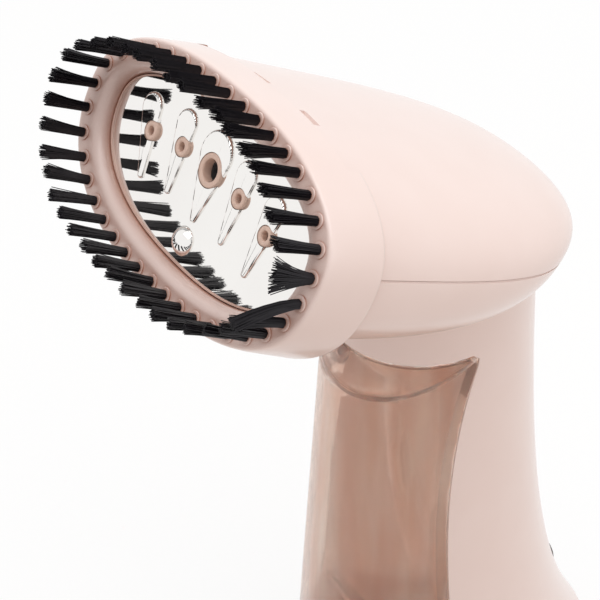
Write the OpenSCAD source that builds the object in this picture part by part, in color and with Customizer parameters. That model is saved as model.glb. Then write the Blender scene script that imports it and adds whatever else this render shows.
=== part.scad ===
// Handheld garment steamer with a bristle collar and a smoky water tank.
// Millimetres, +Z up, the head points towards -Y.
// The origin is the middle of the face the steamer stands on.

/* [Stance] */
// Height of the middle of the steam face over the table
face_height = 222; // [216:1:230]
// Upward tilt of the head axis in degrees
head_pitch = 31.2; // [29:0.2:33]
// Distance of the steam face in front of the column axis
face_reach = 66.6; // [64:0.2:69]

/* [Steam face] */
// Half width of the tuft ring
face_half_width = 50; // [48:0.5:52]
// Height of the tuft ring above its widest line
face_top = 22.3; // [21.5:0.1:23.5]
// Depth of the tuft ring below its widest line
face_bottom = 28.4; // [27.6:0.1:29.6]
// Squareness of the face outline, 2 is an ellipse
face_squareness = 2.36; // [2.2:0.02:2.5]

/* [Brush collar] */
// Front flange thickness, which holds the tuft roots
collar_flange = 5; // [4.4:0.1:5.6]
// Length of the collar behind the tuft roots
collar_length = 16; // [15:0.25:17]
// Wall of the collar skirt
collar_wall = 2.4; // [2:0.1:2.6]
// Outer edge of the front rim outside the tuft ring
rim_out = 3.6; // [3.2:0.1:3.8]
// Outer edge of the skirt's rear end outside the tuft ring
skirt_out = 4.8; // [4.6:0.1:5]
// How much flatter the collar is above and below than the ring
collar_trim = 1; // [0.8:0.1:1.2]
// Rounding of the rim's front edge
rim_round = 1.2; // [0.8:0.1:1.6]
// Edge of the central opening inside the tuft ring
opening_in = 5.6; // [5.4:0.1:5.7]
// Depth over which the collar's face rolls over into the opening
lip_drop = 3.8; // [3.4:0.1:4.2]
// Width of that roll
lip_run = 3.5; // [3:0.1:3.8]
// Half width of the step in the skirt's upper rear edge
notch_half_width = 34; // [32:0.5:35]
// Depth of that step
notch_depth = 4; // [3.5:0.1:4.4]

/* [Bristles] */
// Number of tufts
tuft_count = 38; // [34:1:40]
// Free length of a tuft
tuft_length = 14.4; // [13:0.1:16]
// Tuft diameter at the root
tuft_root = 2.6; // [2.4:0.1:2.8]
// Tuft diameter at the tip
tuft_tip = 3; // [2.6:0.1:3.2]
// Depth of the tuft holes
tuft_seat = 3.8; // [3:0.1:4]
// Inward lean of the tufts in degrees
tuft_lean = 2.7; // [1:0.1:4]
// Share of the ring at which the first tuft stands
tuft_phase = 0.428; // [0:0.001:1]
// Height of the small boss round each tuft
tuft_boss = 0.4; // [0.3:0.1:0.6]

/* [Steam plate] */
// Depth of the plate's face behind the tuft roots
plate_depth = 4.4; // [4.2:0.1:4.6]
// Sheet thickness
plate_sheet = 1; // [0.8:0.1:1.2]
// Edge of the plate inside the tuft ring
plate_in = 6.8; // [6.7:0.1:7]
// Edge of the bezel's front opening inside the tuft ring
bezel_in = 7.5; // [7.4:0.1:7.8]
// Depth of the bezel's front edge behind the tuft roots
bezel_front = 3.4; // [3:0.1:3.6]
// Height of the raised pads
pad_height = 0.9; // [0.6:0.1:1]
// Length of the middle pad
mid_pad_length = 24; // [23:0.5:25]
// Width of the middle pad at its round end
mid_pad_width = 12; // [11:0.1:12.4]
// Length of the outer pads
side_pad_length = 22; // [21:0.5:23]
// Width of the outer pads at their round end
side_pad_width = 7.6; // [7:0.1:8]
// Radius of the pointed pad ends
pad_point = 0.9; // [0.7:0.1:1.1]
// Distance of the inner side nozzles from the middle
inner_nozzle_x = 13.2; // [12.8:0.1:13.6]
// Distance of the outer side nozzles from the middle
outer_nozzle_x = 26.6; // [26:0.1:27]
// Height of the middle nozzle on the face
mid_nozzle_y = 2.6; // [2:0.1:3]
// Height of the inner side nozzles
inner_nozzle_y = 2.1; // [1.6:0.1:2.6]
// Height of the outer side nozzles
outer_nozzle_y = -0.3; // [-0.8:0.1:0.2]
// Outer diameter of the middle nozzle
mid_nozzle_od = 8.7; // [8.4:0.1:9]
// Bore of the middle nozzle
mid_nozzle_bore = 5.6; // [5.2:0.1:6]
// Outer diameter of a side nozzle
side_nozzle_od = 5; // [4.8:0.1:5.2]
// Bore of a side nozzle
side_nozzle_bore = 2.3; // [2:0.1:2.6]
// How far the nozzles stand out of the plate's face
nozzle_proud = 1.1; // [0.9:0.1:1.3]
// Diameter of the polished dome
dome_diameter = 7.6; // [7:0.1:8]
// Height of the polished dome
dome_height = 2.4; // [2:0.1:2.6]
// Height of the dome's middle on the face
dome_y = -16.7; // [-17.2:0.1:-16.2]

/* [Boiler] */
// Gasket thickness
gasket_thick = 1; // [0.8:0.1:1.2]
// Edge of the boiler inside the tuft ring
boiler_in = 8.6; // [8.4:0.1:9]
// Depth of the cast boiler block
boiler_depth = 16.8; // [16.2:0.1:17.4]
// Depth of the steam chamber in its rear face
chamber_depth = 4.4; // [4:0.1:4.6]
// Wall round the steam chamber
chamber_wall = 4.2; // [4:0.1:4.6]
// Thickness of the boiler's rear cover
boiler_cover_thick = 2; // [1.6:0.1:2.4]
// Diameter of the heating element tube
element_tube = 6.4; // [6:0.1:6.5]
// Height of the element's upper leg on the face
element_top_y = 9.2; // [9:0.1:9.4]
// Height of the element's lower leg on the face
element_low_y = -12; // [-12.4:0.1:-11.8]
// Middle of the element's bend from the middle of the face
element_bend_x = 24; // [23:0.5:24.5]
// Outer reach of the element's legs
element_reach = 36.2; // [36:0.1:36.4]
// Diameter of the mounting lugs
lug_diameter = 8; // [7:0.1:8.4]
// Clamping screw diameter
boiler_screw = 3; // [2.6:0.1:3.2]
// Thermostat diameter
thermostat_diameter = 16; // [14:0.5:17]
// Thermostat height
thermostat_height = 8; // [7:0.5:9]
// Gap from the boiler cover to the heat shield
shield_gap = 12; // [11:0.5:13]

/* [Head shell] */
// Wall of the moulded shells
shell_wall = 2.4; // [2.2:0.1:2.6]
// Distance of the head's rear tip behind the tuft roots
head_length = 108.7; // [108:0.1:110]
// Half width of the head behind the collar
head_half_width = 52.4; // [52:0.1:52.8]
// Height of the head above its widest line
head_top = 24.6; // [24.4:0.1:24.8]
// Depth of the head below its widest line
head_bottom = 25.4; // [25:0.1:26]
// Rise of the head's axis at the rear tip
head_rise = 16.4; // [16:0.1:17]
// Height of the side seam at the collar
seam_start = 4; // [3:0.1:5]
// Climb of the side seam towards the rear in degrees
seam_angle = 3.7; // [3:0.1:4.2]
// Gap between the collar and the shells
collar_gap = 0.4; // [0.3:0.05:0.6]

/* [Column] */
// Half width of the column at the tank's top
neck_half_width = 27.1; // [26.5:0.1:27.8]
// Front depth of the column at the tank's top
neck_front = 27.7; // [27:0.1:28.4]
// Rear depth of the column at the tank's top
neck_back = 33; // [32.4:0.1:33.6]
// Half width of the column at the base
base_half_width = 46; // [44:0.5:48]
// Front depth of the column at the base
base_front = 39.2; // [38:0.2:41]
// Rear depth of the column at the base
base_back = 58.5; // [56:0.5:60]
// Distance of the tank's upper seam below the face middle
tank_drop = 70.8; // [69.8:0.2:72]
// Height of the shell's lower edge over the table
shell_lift = 1.2; // [1:0.1:1.6]

/* [Tank] */
// Wall of the moulded tank
tank_wall = 2; // [1.6:0.1:2.2]
// Height of the tank's floor over the table
tank_floor = 16; // [15:0.5:18]
// Gap between the tank and the shells
tank_gap = 0.4; // [0.3:0.05:0.6]
// Distance of the tank's top rear edge in front of the column axis
tank_edge_top = 0.2; // [0:0.1:1]
// Extra distance of its lower rear edge
tank_edge_run = 14.6; // [14:0.1:15]
// Rounding of its top rear corner
tank_corner = 3; // [2:0.5:4]
// Depth of the tank lid at the side
lid_side_drop = 3.5; // [3:0.1:4]
// Slope of the lid's joint towards the front in degrees
lid_slope = 26.6; // [24:0.2:28]
// Distance of the filler stopper below the tank's top
filler_drop = 21.2; // [19:0.2:25]
// Distance of the stopper in front of the column axis
filler_forward = 15.5; // [15:0.5:16.5]
// Bore of the filler mouth
filler_bore = 9.6; // [8:0.2:10]
// Height of the outlet over the table
outlet_height = 26; // [25:0.5:30]
// Diameter of the outlet nipple
outlet_od = 10; // [9:0.2:10.6]
// Tank pull-out travel
tank_travel = 65; // [50:1:80]

/* [Pump] */
// Distance of the pump's axis behind the column axis
pump_back = 14; // [13:0.5:15]
// Height of the pump's lower end over the table
pump_height = 34; // [33:0.5:38]
// Diameter of the pump's coil
coil_diameter = 24; // [20:0.5:26]
// Height of the pump's coil
coil_height = 26; // [22:0.5:27]
// Outer diameter of the hoses
hose_od = 6.5; // [6:0.1:7]
// Bore of the hoses
hose_bore = 4.4; // [4:0.1:4.6]

/* [Controls] */
// Distance of the steam button below the tank's top
button_drop = 19.2; // [17.2:0.2:21.2]
// Width of the steam button
button_width = 13; // [12:0.2:15]
// Length of the steam button
button_length = 22; // [18:0.5:24]
// How far the steam button stands out
button_proud = 1.4; // [1.2:0.1:1.6]
// Steam button travel
button_travel = 1.2; // [0.8:0.1:1.3]
// Distance of the power slider below the steam button
slider_drop = 35; // [32:0.5:36]
// Length of the power slider
slider_length = 10; // [8:0.5:11]
// Power slider travel
slider_travel = 6; // [5:0.5:7]
// Diameter of the indicator lens
lens_diameter = 4; // [3:0.2:4.6]
// Width of the control panel
panel_width = 24; // [23:0.5:26]
// Length of the control panel between its end centres
panel_length = 44; // [42:1:46]
// Thickness of the control board
board_thick = 1.6; // [1.4:0.1:1.8]

/* [Base] */
// Thickness of the base plate
base_thick = 2.6; // [2.2:0.1:3]
// Thickness of the base pad
pad_thick = 2.2; // [2:0.1:2.5]
// Width of the base pad's ring
pad_ring = 12; // [9:0.5:14]
// Diameter of the cord gland
gland_diameter = 11; // [10:0.2:12]
// Bore of the cord gland
gland_bore = 5.8; // [5:0.1:6.2]
// Height of the cord gland over the table
gland_height = 20; // [18:0.5:22]
// Case screw diameter
case_screw = 2.9; // [2.6:0.1:3.1]

/* [Fits] */
// Radial clearance of a push fit
push_fit = 0.05; // [0.03:0.01:0.08]
// Clearance of a sliding piece
slide_fit = 0.3; // [0.25:0.05:0.35]
// Clearance between pieces screwed together
part_fit = 0.1; // [0.05:0.05:0.15]

/* [Hidden] */
$fn = 48;
column_y = (base_front - base_back) / 2;
face_y = column_y - face_reach;
seam_z = face_height - tank_drop;
pump_y = column_y + pump_back;
step_s = collar_length - notch_depth;
head_front = collar_length + collar_gap;
plate_back = plate_depth + plate_sheet;
block_front = plate_back + gasket_thick;
block_back = block_front + boiler_depth;
cover_back = block_back + part_fit / 2 + boiler_cover_thick;
element_z = block_front + 7.3;
element_mid_y = (element_top_y + element_low_y) / 2;
element_bend = (element_top_y - element_low_y) / 2;
shield_front = cover_back + shield_gap;
bezel_flange = collar_flange + slide_fit;
lug_front = bezel_flange + 4.8;
lug_thick = 4.2;
base_z = pad_thick;
outlet_y = column_y + tank_edge(outlet_height);
recess_wall_y = outlet_y + tank_gap + shell_wall;
segments = 44;
head_rings = 11;
column_rings = 11;
filler_height = seam_z - filler_drop;
button_height = seam_z - button_drop;
slider_height = button_height - slider_drop;
panel_mid = (button_height + slider_height) / 2 + 3.5;
panel_y = column_y + column_back(panel_mid);
board_y = panel_y - 15;
inlet_x = -18;
inlet_y = -6;
button_reach = 5.6;

// Outline of the face and the head, counter-clockwise from +X.
function power(v, e) = sign(v) * pow(abs(v), e);
function outline(a, top, bottom, n, count) = [for (i = [0:count - 1])
    let (t = 360 * i / count)
    [a * power(cos(t), 2 / n), (sin(t) > 0 ? top : bottom) * power(sin(t), 2 / n)]];
function face_outline(d, count = 72) =
    outline(face_half_width + d, face_top + d, face_bottom + d, face_squareness, count);
function at_depth(points, s) = [for (p = points) [p[0], p[1], -s]];

// Head section at distance s behind the tuft roots, drawn in by inset.
function head_share(s, inset) = max(0, min(1, (s - head_front) / (head_length - inset - head_front)));
function head_wide(s, inset) = pow(1 - pow(head_share(s, inset), 3.05), 0.415);
function head_high(s, inset) = pow(1 - pow(head_share(s, inset), 2.04), 0.562);
function head_deep(s, inset) = pow(1 - pow(head_share(s, inset), 9), 0.562);
function head_section(s, inset) = [for (p = outline((head_half_width - inset) * head_wide(s, inset),
    (head_top - inset) * head_high(s, inset), (head_bottom - inset) * head_deep(s, inset),
    face_squareness - 0.3 * head_share(s, inset), segments))
    [p[0], p[1] + head_rise * pow(head_share(s, inset), 2), -s]];

// Column section at height z, drawn in by inset.
function flare(z) = max(0, min(1, (seam_z - z) / seam_z));
function column_side(z) = neck_half_width + (base_half_width - neck_half_width) * pow(flare(z), 1.6)
    - 0.06 * max(0, z - seam_z);
function column_front(z) = neck_front + (base_front - neck_front) * (1 - pow(1 - flare(z), 1.6))
    - 0.1 * max(0, z - seam_z);
function column_back(z) = neck_back + (base_back - neck_back) * pow(flare(z), 3.4)
    - 0.02 * max(0, z - seam_z);
function column_points(z, inset) = [for (p = outline(column_side(z) - inset, column_back(z) - inset,
    column_front(z) - inset, 2.06, segments)) [p[0], p[1] + column_y]];
function column_section(z, inset) = [for (p = column_points(z, inset)) [p[0], p[1], z]];
// Half width of the column at height z and distance y from its axis.
function column_x(z, y) = column_side(z) * sqrt(max(0, 1 - pow(y / (y > 0 ? column_back(z)
    : column_front(z)), 2)));

// Rear face of the tank at height z, from the column axis.
function corner_share(z) = max(0, 1 - (seam_z - z) / tank_corner);
function tank_edge(z) = -tank_edge_top - tank_edge_run * (1 - pow(1 - flare(z), 4))
    - tank_corner * (1 - sqrt(1 - pow(corner_share(z), 2)));

module loft(rings) {
    n = len(rings[0]);
    m = len(rings);
    polyhedron(points = [for (r = rings) for (p = r) p],
        faces = concat([[for (i = [0:n - 1]) i]],
            [for (k = [0:m - 2]) for (i = [0:n - 1])
                let (a = k * n + i, b = k * n + (i + 1) % n) [a, a + n, b + n]],
            [for (k = [0:m - 2]) for (i = [0:n - 1])
                let (a = k * n + i, b = k * n + (i + 1) % n) [a, b + n, b]],
            [[for (i = [n - 1:-1:0]) (m - 1) * n + i]]), convexity = 6);
}

// Swept round bar through smooth points.
function curve(p, k, t) = let (a = p[max(0, k - 1)], b = p[k], c = p[k + 1], d = p[min(len(p) - 1, k + 2)])
    0.5 * (2 * b + (c - a) * t + (2 * a - 5 * b + 4 * c - d) * t * t + (3 * b - a - 3 * c + d) * t * t * t);
function smooth(p, steps) = concat([for (k = [0:len(p) - 2]) for (i = [0:steps - 1])
    curve(p, k, i / steps)], [p[len(p) - 1]]);
function unit(v) = v / norm(v);
module bar(p, d, sides) {
    n = len(p);
    loft([for (i = [0:n - 1])
        let (t = unit(p[min(n - 1, i + 1)] - p[max(0, i - 1)]), u = unit(cross(t, [1, 0, 0])), v = cross(t, u))
        [for (j = [0:sides - 1]) p[i] + d / 2 * (cos(360 * j / sides) * u - sin(360 * j / sides) * v)]]);
}

module in_head() {
    translate([0, face_y, face_height]) rotate([90 - head_pitch, 0, 0]) children();
}
module face_slab(d, front, back) {
    translate([0, 0, -back]) linear_extrude(back - front) polygon(face_outline(d));
}
module face_ring(outer, inner, front, back) {
    translate([0, 0, -back]) linear_extrude(back - front) difference() {
        polygon(face_outline(outer));
        polygon(face_outline(inner));
    }
}
module peg(d, front, back) {
    translate([0, 0, -back]) cylinder(h = back - front, d = d);
}
module tube(d, bore, h) {
    difference() {
        cylinder(h = h, d = d);
        translate([0, 0, -1]) cylinder(h = h + 2, d = bore);
    }
}

// Tufts stand at equal steps along the ring.
ring_steps = 180;
ring_points = face_outline(0, ring_steps);
ring_lengths = [for (i = 0, s = 0; i <= ring_steps; s = s + norm(ring_points[(i + 1) % ring_steps]
    - ring_points[i % ring_steps]), i = i + 1) s];
function ring_angle(f) = lookup(f * ring_lengths[ring_steps], [for (i = [0:ring_steps])
    [ring_lengths[i], 360 * i / ring_steps]]);
function ring_point(t) = [face_half_width * power(cos(t), 2 / face_squareness),
    (sin(t) > 0 ? face_top : face_bottom) * power(sin(t), 2 / face_squareness)];
module at_tufts() {
    for (i = [0:tuft_count - 1]) {
        f = i / tuft_count + tuft_phase;
        t = ring_angle(f - floor(f));
        p = ring_point(t);
        q = ring_point(t + 2) - ring_point(t - 2);
        translate([p[0], p[1], 0]) rotate([0, 0, atan2(q[1], q[0])]) rotate([-tuft_lean, 0, 0]) children();
    }
}
module at_side_nozzles() {
    for (side = [-1, 1]) {
        translate([side * inner_nozzle_x, inner_nozzle_y, 0]) children();
        translate([side * outer_nozzle_x, outer_nozzle_y, 0]) children();
    }
}
module at_lugs() {
    for (side = [-1, 1]) {
        translate([side * (face_half_width - 6.6), -2, 0]) children();
        translate([side * 20, -face_bottom + 6.9, 0]) children();
    }
}
cover_points = [for (t = [40, 140, 218, 322]) [(face_half_width - boiler_in - 2) * power(cos(t), 2 / 2.36),
    ((t < 180 ? face_top : face_bottom) - boiler_in - 2) * power(sin(t), 2 / 2.36)]];
module at_cover_screws() {
    for (p = cover_points) translate([p[0], p[1], 0]) children();
}

// Brush attachment.
function collar_outline(d) = let (trim = collar_trim * max(0, min(1, d / skirt_out)))
    outline(face_half_width + d, face_top + d - trim, face_bottom + d - trim, face_squareness, 72);
module collar_outside() {
    loft([at_depth(collar_outline(skirt_out), collar_length),
        at_depth(collar_outline(rim_out + 0.3), rim_round * 1.8),
        at_depth(collar_outline(rim_out), rim_round),
        at_depth(collar_outline(rim_out - rim_round * 0.3), rim_round * 0.3),
        at_depth(collar_outline(rim_out - rim_round), 0)]);
}
function skirt_outline(inset) = outline(face_half_width + skirt_out - inset, face_top + skirt_out
    - collar_trim - inset, face_bottom + skirt_out - collar_trim - inset, face_squareness, 72);
module brush_collar() color("MistyRose") in_head() difference() {
    union() {
        collar_outside();
        at_tufts() translate([0, 0, -0.3]) cylinder(h = tuft_boss + 0.3, d = tuft_root + 1.4, $fn = 24);
    }
    face_slab(-opening_in, -2, collar_length + 1);
    loft(concat([for (a = [75:-15:15])
        at_depth(face_outline(lip_run * (1 - sin(a)) - opening_in), lip_drop * (1 - cos(a)))],
        [at_depth(face_outline(lip_run - opening_in), -1)]));
    translate([0, 0, -collar_length - 1]) linear_extrude(collar_length + 1 - collar_flange)
        polygon(skirt_outline(collar_wall));
    translate([-notch_half_width, 10, -collar_length - 1]) cube([2 * notch_half_width, 40, notch_depth + 1]);
    at_tufts() translate([0, 0, -tuft_seat - 0.1]) cylinder(h = tuft_seat + 2, d = tuft_root + 2 * push_fit,
        $fn = 24);
}
module bristle_tufts() color("Black") in_head() at_tufts() {
    translate([0, 0, -tuft_seat]) cylinder(h = tuft_seat + 1, d = tuft_root, $fn = 24);
    translate([0, 0, 1]) cylinder(h = tuft_length - 1, d1 = tuft_root, d2 = tuft_tip, $fn = 24);
}

// Head front.
module spigot(inset, front, back) {
    inner = shell_wall + 2 * part_fit + inset;
    translate([0, 0, -back]) linear_extrude(back - front) polygon(outline(head_half_width - inner,
        head_top - inner, head_bottom - inner, face_squareness, segments));
}
module sleeve(inset, front, back) {
    translate([0, 0, -back]) linear_extrude(back - front)
        polygon(skirt_outline(collar_wall + slide_fit + 0.4 + inset));
}
module front_bezel() color("PeachPuff") in_head() difference() {
    union() {
        face_slab(-opening_in - slide_fit, bezel_front, bezel_flange + 1);
        difference() {
            sleeve(0, bezel_flange, collar_length - 0.4);
            sleeve(2, bezel_flange + 2.3, collar_length - 2.4);
            translate([-notch_half_width - 0.3, 10, -collar_length - 0.1]) cube([2 * notch_half_width + 0.6, 40,
                notch_depth + 0.2]);
        }
        spigot(0, step_s - 0.4, head_front + 7);
        at_lugs() peg(lug_diameter, bezel_flange + 1, lug_front);
    }
    face_slab(-bezel_in, 0, plate_depth + 1);
    face_slab(part_fit - plate_in, plate_depth, bezel_flange + 2.4);
    face_slab(0.5 - boiler_in, plate_depth, head_front + 9);
    difference() {
        spigot(2, bezel_flange + 2.3, head_front + 8);
        at_lugs() peg(lug_diameter, 0, lug_front);
    }
    at_lugs() peg(lug_diameter + 1.4, lug_front, lug_front + lug_thick + 3);
    at_lugs() peg(boiler_screw - 0.4, bezel_flange + 1, lug_front + 1);
}
module pad_shape(length, width) {
    hull() {
        circle(d = width);
        translate([0, width / 2 + pad_point - length]) circle(r = pad_point);
    }
}
// A pad leans by turn; its round end stands lift beyond the nozzle and shift beside it.
module pad(x, y, shift, lift, turn, length, width) {
    translate([x + shift, y, -plate_depth - 0.1]) rotate([0, 0, turn]) translate([0, lift, 0])
        linear_extrude(pad_height + 0.1) pad_shape(length, width);
}
module steam_plate() color("Silver") in_head() difference() {
    union() {
        face_slab(-plate_in, plate_depth, plate_back);
        pad(-outer_nozzle_x, outer_nozzle_y, -2.1, 5.2, 20, side_pad_length, side_pad_width);
        pad(-inner_nozzle_x, inner_nozzle_y, -1.4, 5.4, 10, side_pad_length, side_pad_width);
        pad(0, mid_nozzle_y, -0.6, 4, 5, mid_pad_length, mid_pad_width);
        pad(inner_nozzle_x, inner_nozzle_y, -0.9, 5.5, 3, side_pad_length, side_pad_width);
        pad(outer_nozzle_x, outer_nozzle_y, -1.3, 6, -2.5, side_pad_length, side_pad_width);
        translate([0, dome_y, -plate_depth]) intersection() {
            translate([0, 0, dome_height - dome_radius]) sphere(r = dome_radius);
            translate([0, 0, -0.2]) cylinder(h = dome_height + 1, d = dome_diameter);
        }
    }
    translate([0, mid_nozzle_y, 0]) peg(mid_nozzle_od + 0.2, 0, plate_back + 1);
    at_side_nozzles() peg(side_nozzle_od + 0.2, 0, plate_back + 1);
}
dome_radius = (pow(dome_diameter / 2, 2) + pow(dome_height, 2)) / (2 * dome_height);
module plate_gasket() color("IndianRed") in_head()
    face_ring(-plate_in - 0.2, -boiler_in - chamber_wall, plate_back, block_front);
module nozzle(od, bore) {
    difference() {
        peg(od, plate_depth - nozzle_proud, block_front);
        peg(bore, 0, block_front + 1);
    }
}
module centre_nozzle() color("PeachPuff") in_head() translate([0, mid_nozzle_y, 0])
    nozzle(mid_nozzle_od, mid_nozzle_bore);
module side_nozzles() color("PeachPuff") in_head() at_side_nozzles() nozzle(side_nozzle_od, side_nozzle_bore);

// Boiler.
module element_path(d, reach) {
    translate([element_bend_x, element_mid_y, -element_z]) rotate([0, 0, -90]) rotate_extrude(angle = 180)
        translate([element_bend, 0]) circle(d = d);
    for (y = [element_top_y, element_low_y]) translate([-reach, y, -element_z]) rotate([0, 90, 0])
        cylinder(h = reach + element_bend_x, d = d);
}
module boiler_block() color("DarkGray") in_head() difference() {
    union() {
        face_slab(-boiler_in, block_front, block_back);
        at_lugs() peg(lug_diameter - 0.4, lug_front + part_fit, lug_front + lug_thick);
    }
    difference() {
        face_slab(-boiler_in - chamber_wall, block_back - chamber_depth, block_back + 1);
        for (x = [-19, -6, 6, 19]) translate([x - 0.8, x % 4 == 3 ? -9 : -13, -block_back]) cube([1.6, 18, chamber_depth]);
    }
    element_path(element_tube + 2 * push_fit, element_reach + 4);
    translate([0, mid_nozzle_y, 0]) peg(mid_nozzle_bore, 0, block_back - chamber_depth + 1);
    at_side_nozzles() peg(side_nozzle_bore, 0, block_back - chamber_depth + 1);
    at_lugs() peg(boiler_screw + 0.2, 0, block_back);
    at_lugs() peg(2 * boiler_screw, lug_front + lug_thick, block_back + 1);
    at_cover_screws() peg(boiler_screw + 0.1, block_back - 5.7, block_back + 1);
}
module boiler_cover() color("Gray") in_head() difference() {
    union() {
        face_slab(-boiler_in, block_back + part_fit / 2, cover_back);
        translate([inlet_x, inlet_y, 0]) peg(hose_bore + 3, cover_back - 0.5, cover_back + 2);
        translate([inlet_x, inlet_y, 0]) peg(hose_bore - 0.1, cover_back - 0.5, cover_back + 9);
    }
    translate([inlet_x, inlet_y, 0]) peg(hose_bore - 1.8, block_back - 1, cover_back + 10);
    at_cover_screws() peg(boiler_screw + 0.3, block_back - 1, cover_back + 1);
}
module heating_element() color("Silver") in_head() element_path(element_tube, element_reach);
module element_terminals() color("Goldenrod") in_head() for (y = [element_top_y, element_low_y]) {
    translate([-element_reach - 1.8, y, -element_z]) rotate([0, 90, 0]) cylinder(h = 1.8, d = 2.4);
    translate([-element_reach - 2.6, y - 1.5, -element_z - 11.5]) cube([0.8, 3, 13]);
}
module thermostat() color("DimGray") in_head() translate([8, -2, -cover_back]) {
    translate([0, 0, -1.2]) cylinder(h = 1.2, d = thermostat_diameter);
    translate([0, 0, -thermostat_height]) cylinder(h = thermostat_height - 1, d = thermostat_diameter - 3);
    for (side = [-1, 1]) translate([side * 4 - 0.4, -2, -thermostat_height - 3]) cube([0.8, 4, 4]);
}
module thermal_fuse() color("Ivory") in_head() translate([22, -8, -cover_back - 2.2]) {
    rotate([-90, 0, 0]) cylinder(h = 12, d = 4);
    translate([-3, 4, -0.6]) cube([6, 4, 1.2]);
    translate([-3, 4, -0.4]) cube([1, 4, 2.6]);
    translate([2, 4, -0.4]) cube([1, 4, 2.6]);
}
module heat_shield() color("LightSlateGray") in_head() difference() {
    union() {
        face_slab(-boiler_in, shield_front, shield_front + 0.8);
        for (x = [-30, 0, 32]) translate([x, x == 0 ? -15 : -2, 0]) peg(5, cover_back, shield_front + 0.4);
    }
    translate([inlet_x, inlet_y, 0]) peg(hose_od + 4, shield_front - 1, shield_front + 2);
}
module screw(d, length) {
    cylinder(h = length, d = d);
    difference() {
        translate([0, 0, -d * 0.7]) cylinder(h = d * 0.7, d = d * 2);
        for (a = [0, 90]) rotate([0, 0, a]) translate([-d * 0.6, -d * 0.12, -d]) cube([d * 1.2, d * 0.24, d * 0.7]);
    }
}
module boiler_screws() color("Silver") in_head() {
    at_lugs() translate([0, 0, -lug_front - lug_thick]) screw(boiler_screw - 0.5, lug_thick + 3.5);
    at_cover_screws() translate([0, 0, -cover_back]) screw(boiler_screw, 7.2);
}

// Shells.
module head_solid(inset, from) {
    span = head_length - inset - head_front;
    loft(concat([for (i = [head_rings:-1:0]) head_section(head_front + span * sin(87.2 * i / head_rings), inset)],
        [head_section(from, inset)]));
}
module column_solid(inset, low, high) {
    loft([for (i = [0:column_rings]) column_section(low + (high - low) * i / column_rings, inset)]);
}
module above_seam(shift) {
    translate([0, seam_start + shift, -head_front]) rotate([seam_angle, 0, 0])
        translate([-100, 0, -150]) cube([200, 100, 200]);
}
module tank_space(gap) {
    steps = 12;
    rotate([90, 0, 90]) linear_extrude(200, center = true) polygon(concat(
        [[-120, tank_floor - gap], [-120, seam_z + gap]],
        [for (i = [steps:-1:0]) let (z = tank_floor + (seam_z - tank_floor) * sin(90 * i / steps))
            [column_y + tank_edge(z) + gap, z + (i == steps ? gap : i == 0 ? -gap : 0)]]));
}
column_top = seam_z + 0.378 * tank_drop;
module body_shell() {
    difference() {
        union() {
            in_head() head_solid(0, head_front);
            column_solid(0, shell_lift, column_top);
        }
        in_head() above_seam(-part_fit / 2);
        in_head() head_solid(shell_wall, head_front - 2);
        difference() {
            column_solid(shell_wall, shell_lift - 1, column_top + 2);
            tank_space(tank_gap + shell_wall);
        }
        tank_space(tank_gap);
        translate([0, panel_y - 20, panel_mid]) slot_prism(panel_width, panel_length, 30);
        translate([0, column_y + column_back(gland_height), gland_height]) rotate([90, 0, 0])
            cylinder(h = 30, d = gland_diameter, center = true);
        translate([0, recess_wall_y - 6, outlet_height]) rotate([-90, 0, 0])
            cylinder(h = 12, d = outlet_od + 6);
    }
}
module slot_prism(width, length, depth) {
    rotate([-90, 0, 0]) linear_extrude(depth) {
        square([width, length], center = true);
        for (side = [-1, 1]) translate([0, side * length / 2]) circle(d = width);
    }
}
// Screw bosses of the case: distance from the column axis and height.
case_bosses = [[0.63 * base_back, 12], [-0.79 * base_front, 9], [30, 0.463 * seam_z],
    [-18, seam_z + 8.8], [24, seam_z + 14.8]];
function boss_reach(b) = min([for (y = [-3.5, 3.5], z = [-3.5, 3.5]) column_x(b[1] + z, b[0] + y)]);
// Posts of the base screws, from the column axis.
post_y = [-0.56 * base_front, 0.51 * base_back];
base_posts = [for (side = [-1, 1], y = post_y) [side * (column_x(9, y) - shell_wall - 6), column_y + y]];
post_low = base_z + base_thick + part_fit;
module half_shell(side) {
    difference() {
        union() {
            intersection() {
                body_shell();
                translate([side > 0 ? part_fit / 2 : -120, -200, -10]) cube([120 - part_fit / 2, 400, 400]);
            }
            for (b = case_bosses) translate([0, column_y + b[0], b[1]]) rotate([0, side * 90, 0])
                translate([0, 0, part_fit / 2]) cylinder(h = boss_reach(b) - 0.8, d = 7);
            for (p = base_posts) if (side * p[0] > 0) intersection() {
                column_solid(1, post_low, post_low + 9);
                translate([p[0], p[1], post_low]) {
                    cylinder(h = 9, d = 7);
                    translate([side > 0 ? 0 : -14, -1.2, 0]) cube([14, 2.4, 9]);
                }
            }
        }
        for (b = case_bosses) translate([0, column_y + b[0], b[1]]) rotate([0, side * 90, 0]) {
            translate([0, 0, -1]) cylinder(h = 11, d = case_screw + (side > 0 ? 0.02 : 0.3));
            if (side < 0) translate([0, 0, 8]) cylinder(h = 60, d = 2 * case_screw + 0.6);
        }
        for (p = base_posts) translate([p[0], p[1], 0]) cylinder(h = post_low + 8, d = case_screw + 0.02);
    }
}
module body_shell_right() color("Linen") half_shell(1);
module body_shell_left() color("AntiqueWhite") half_shell(-1);
module shell_screws() color("Silver") for (b = case_bosses) translate([-8, column_y + b[0], b[1]])
    rotate([0, 90, 0]) screw(case_screw, 16);
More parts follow.
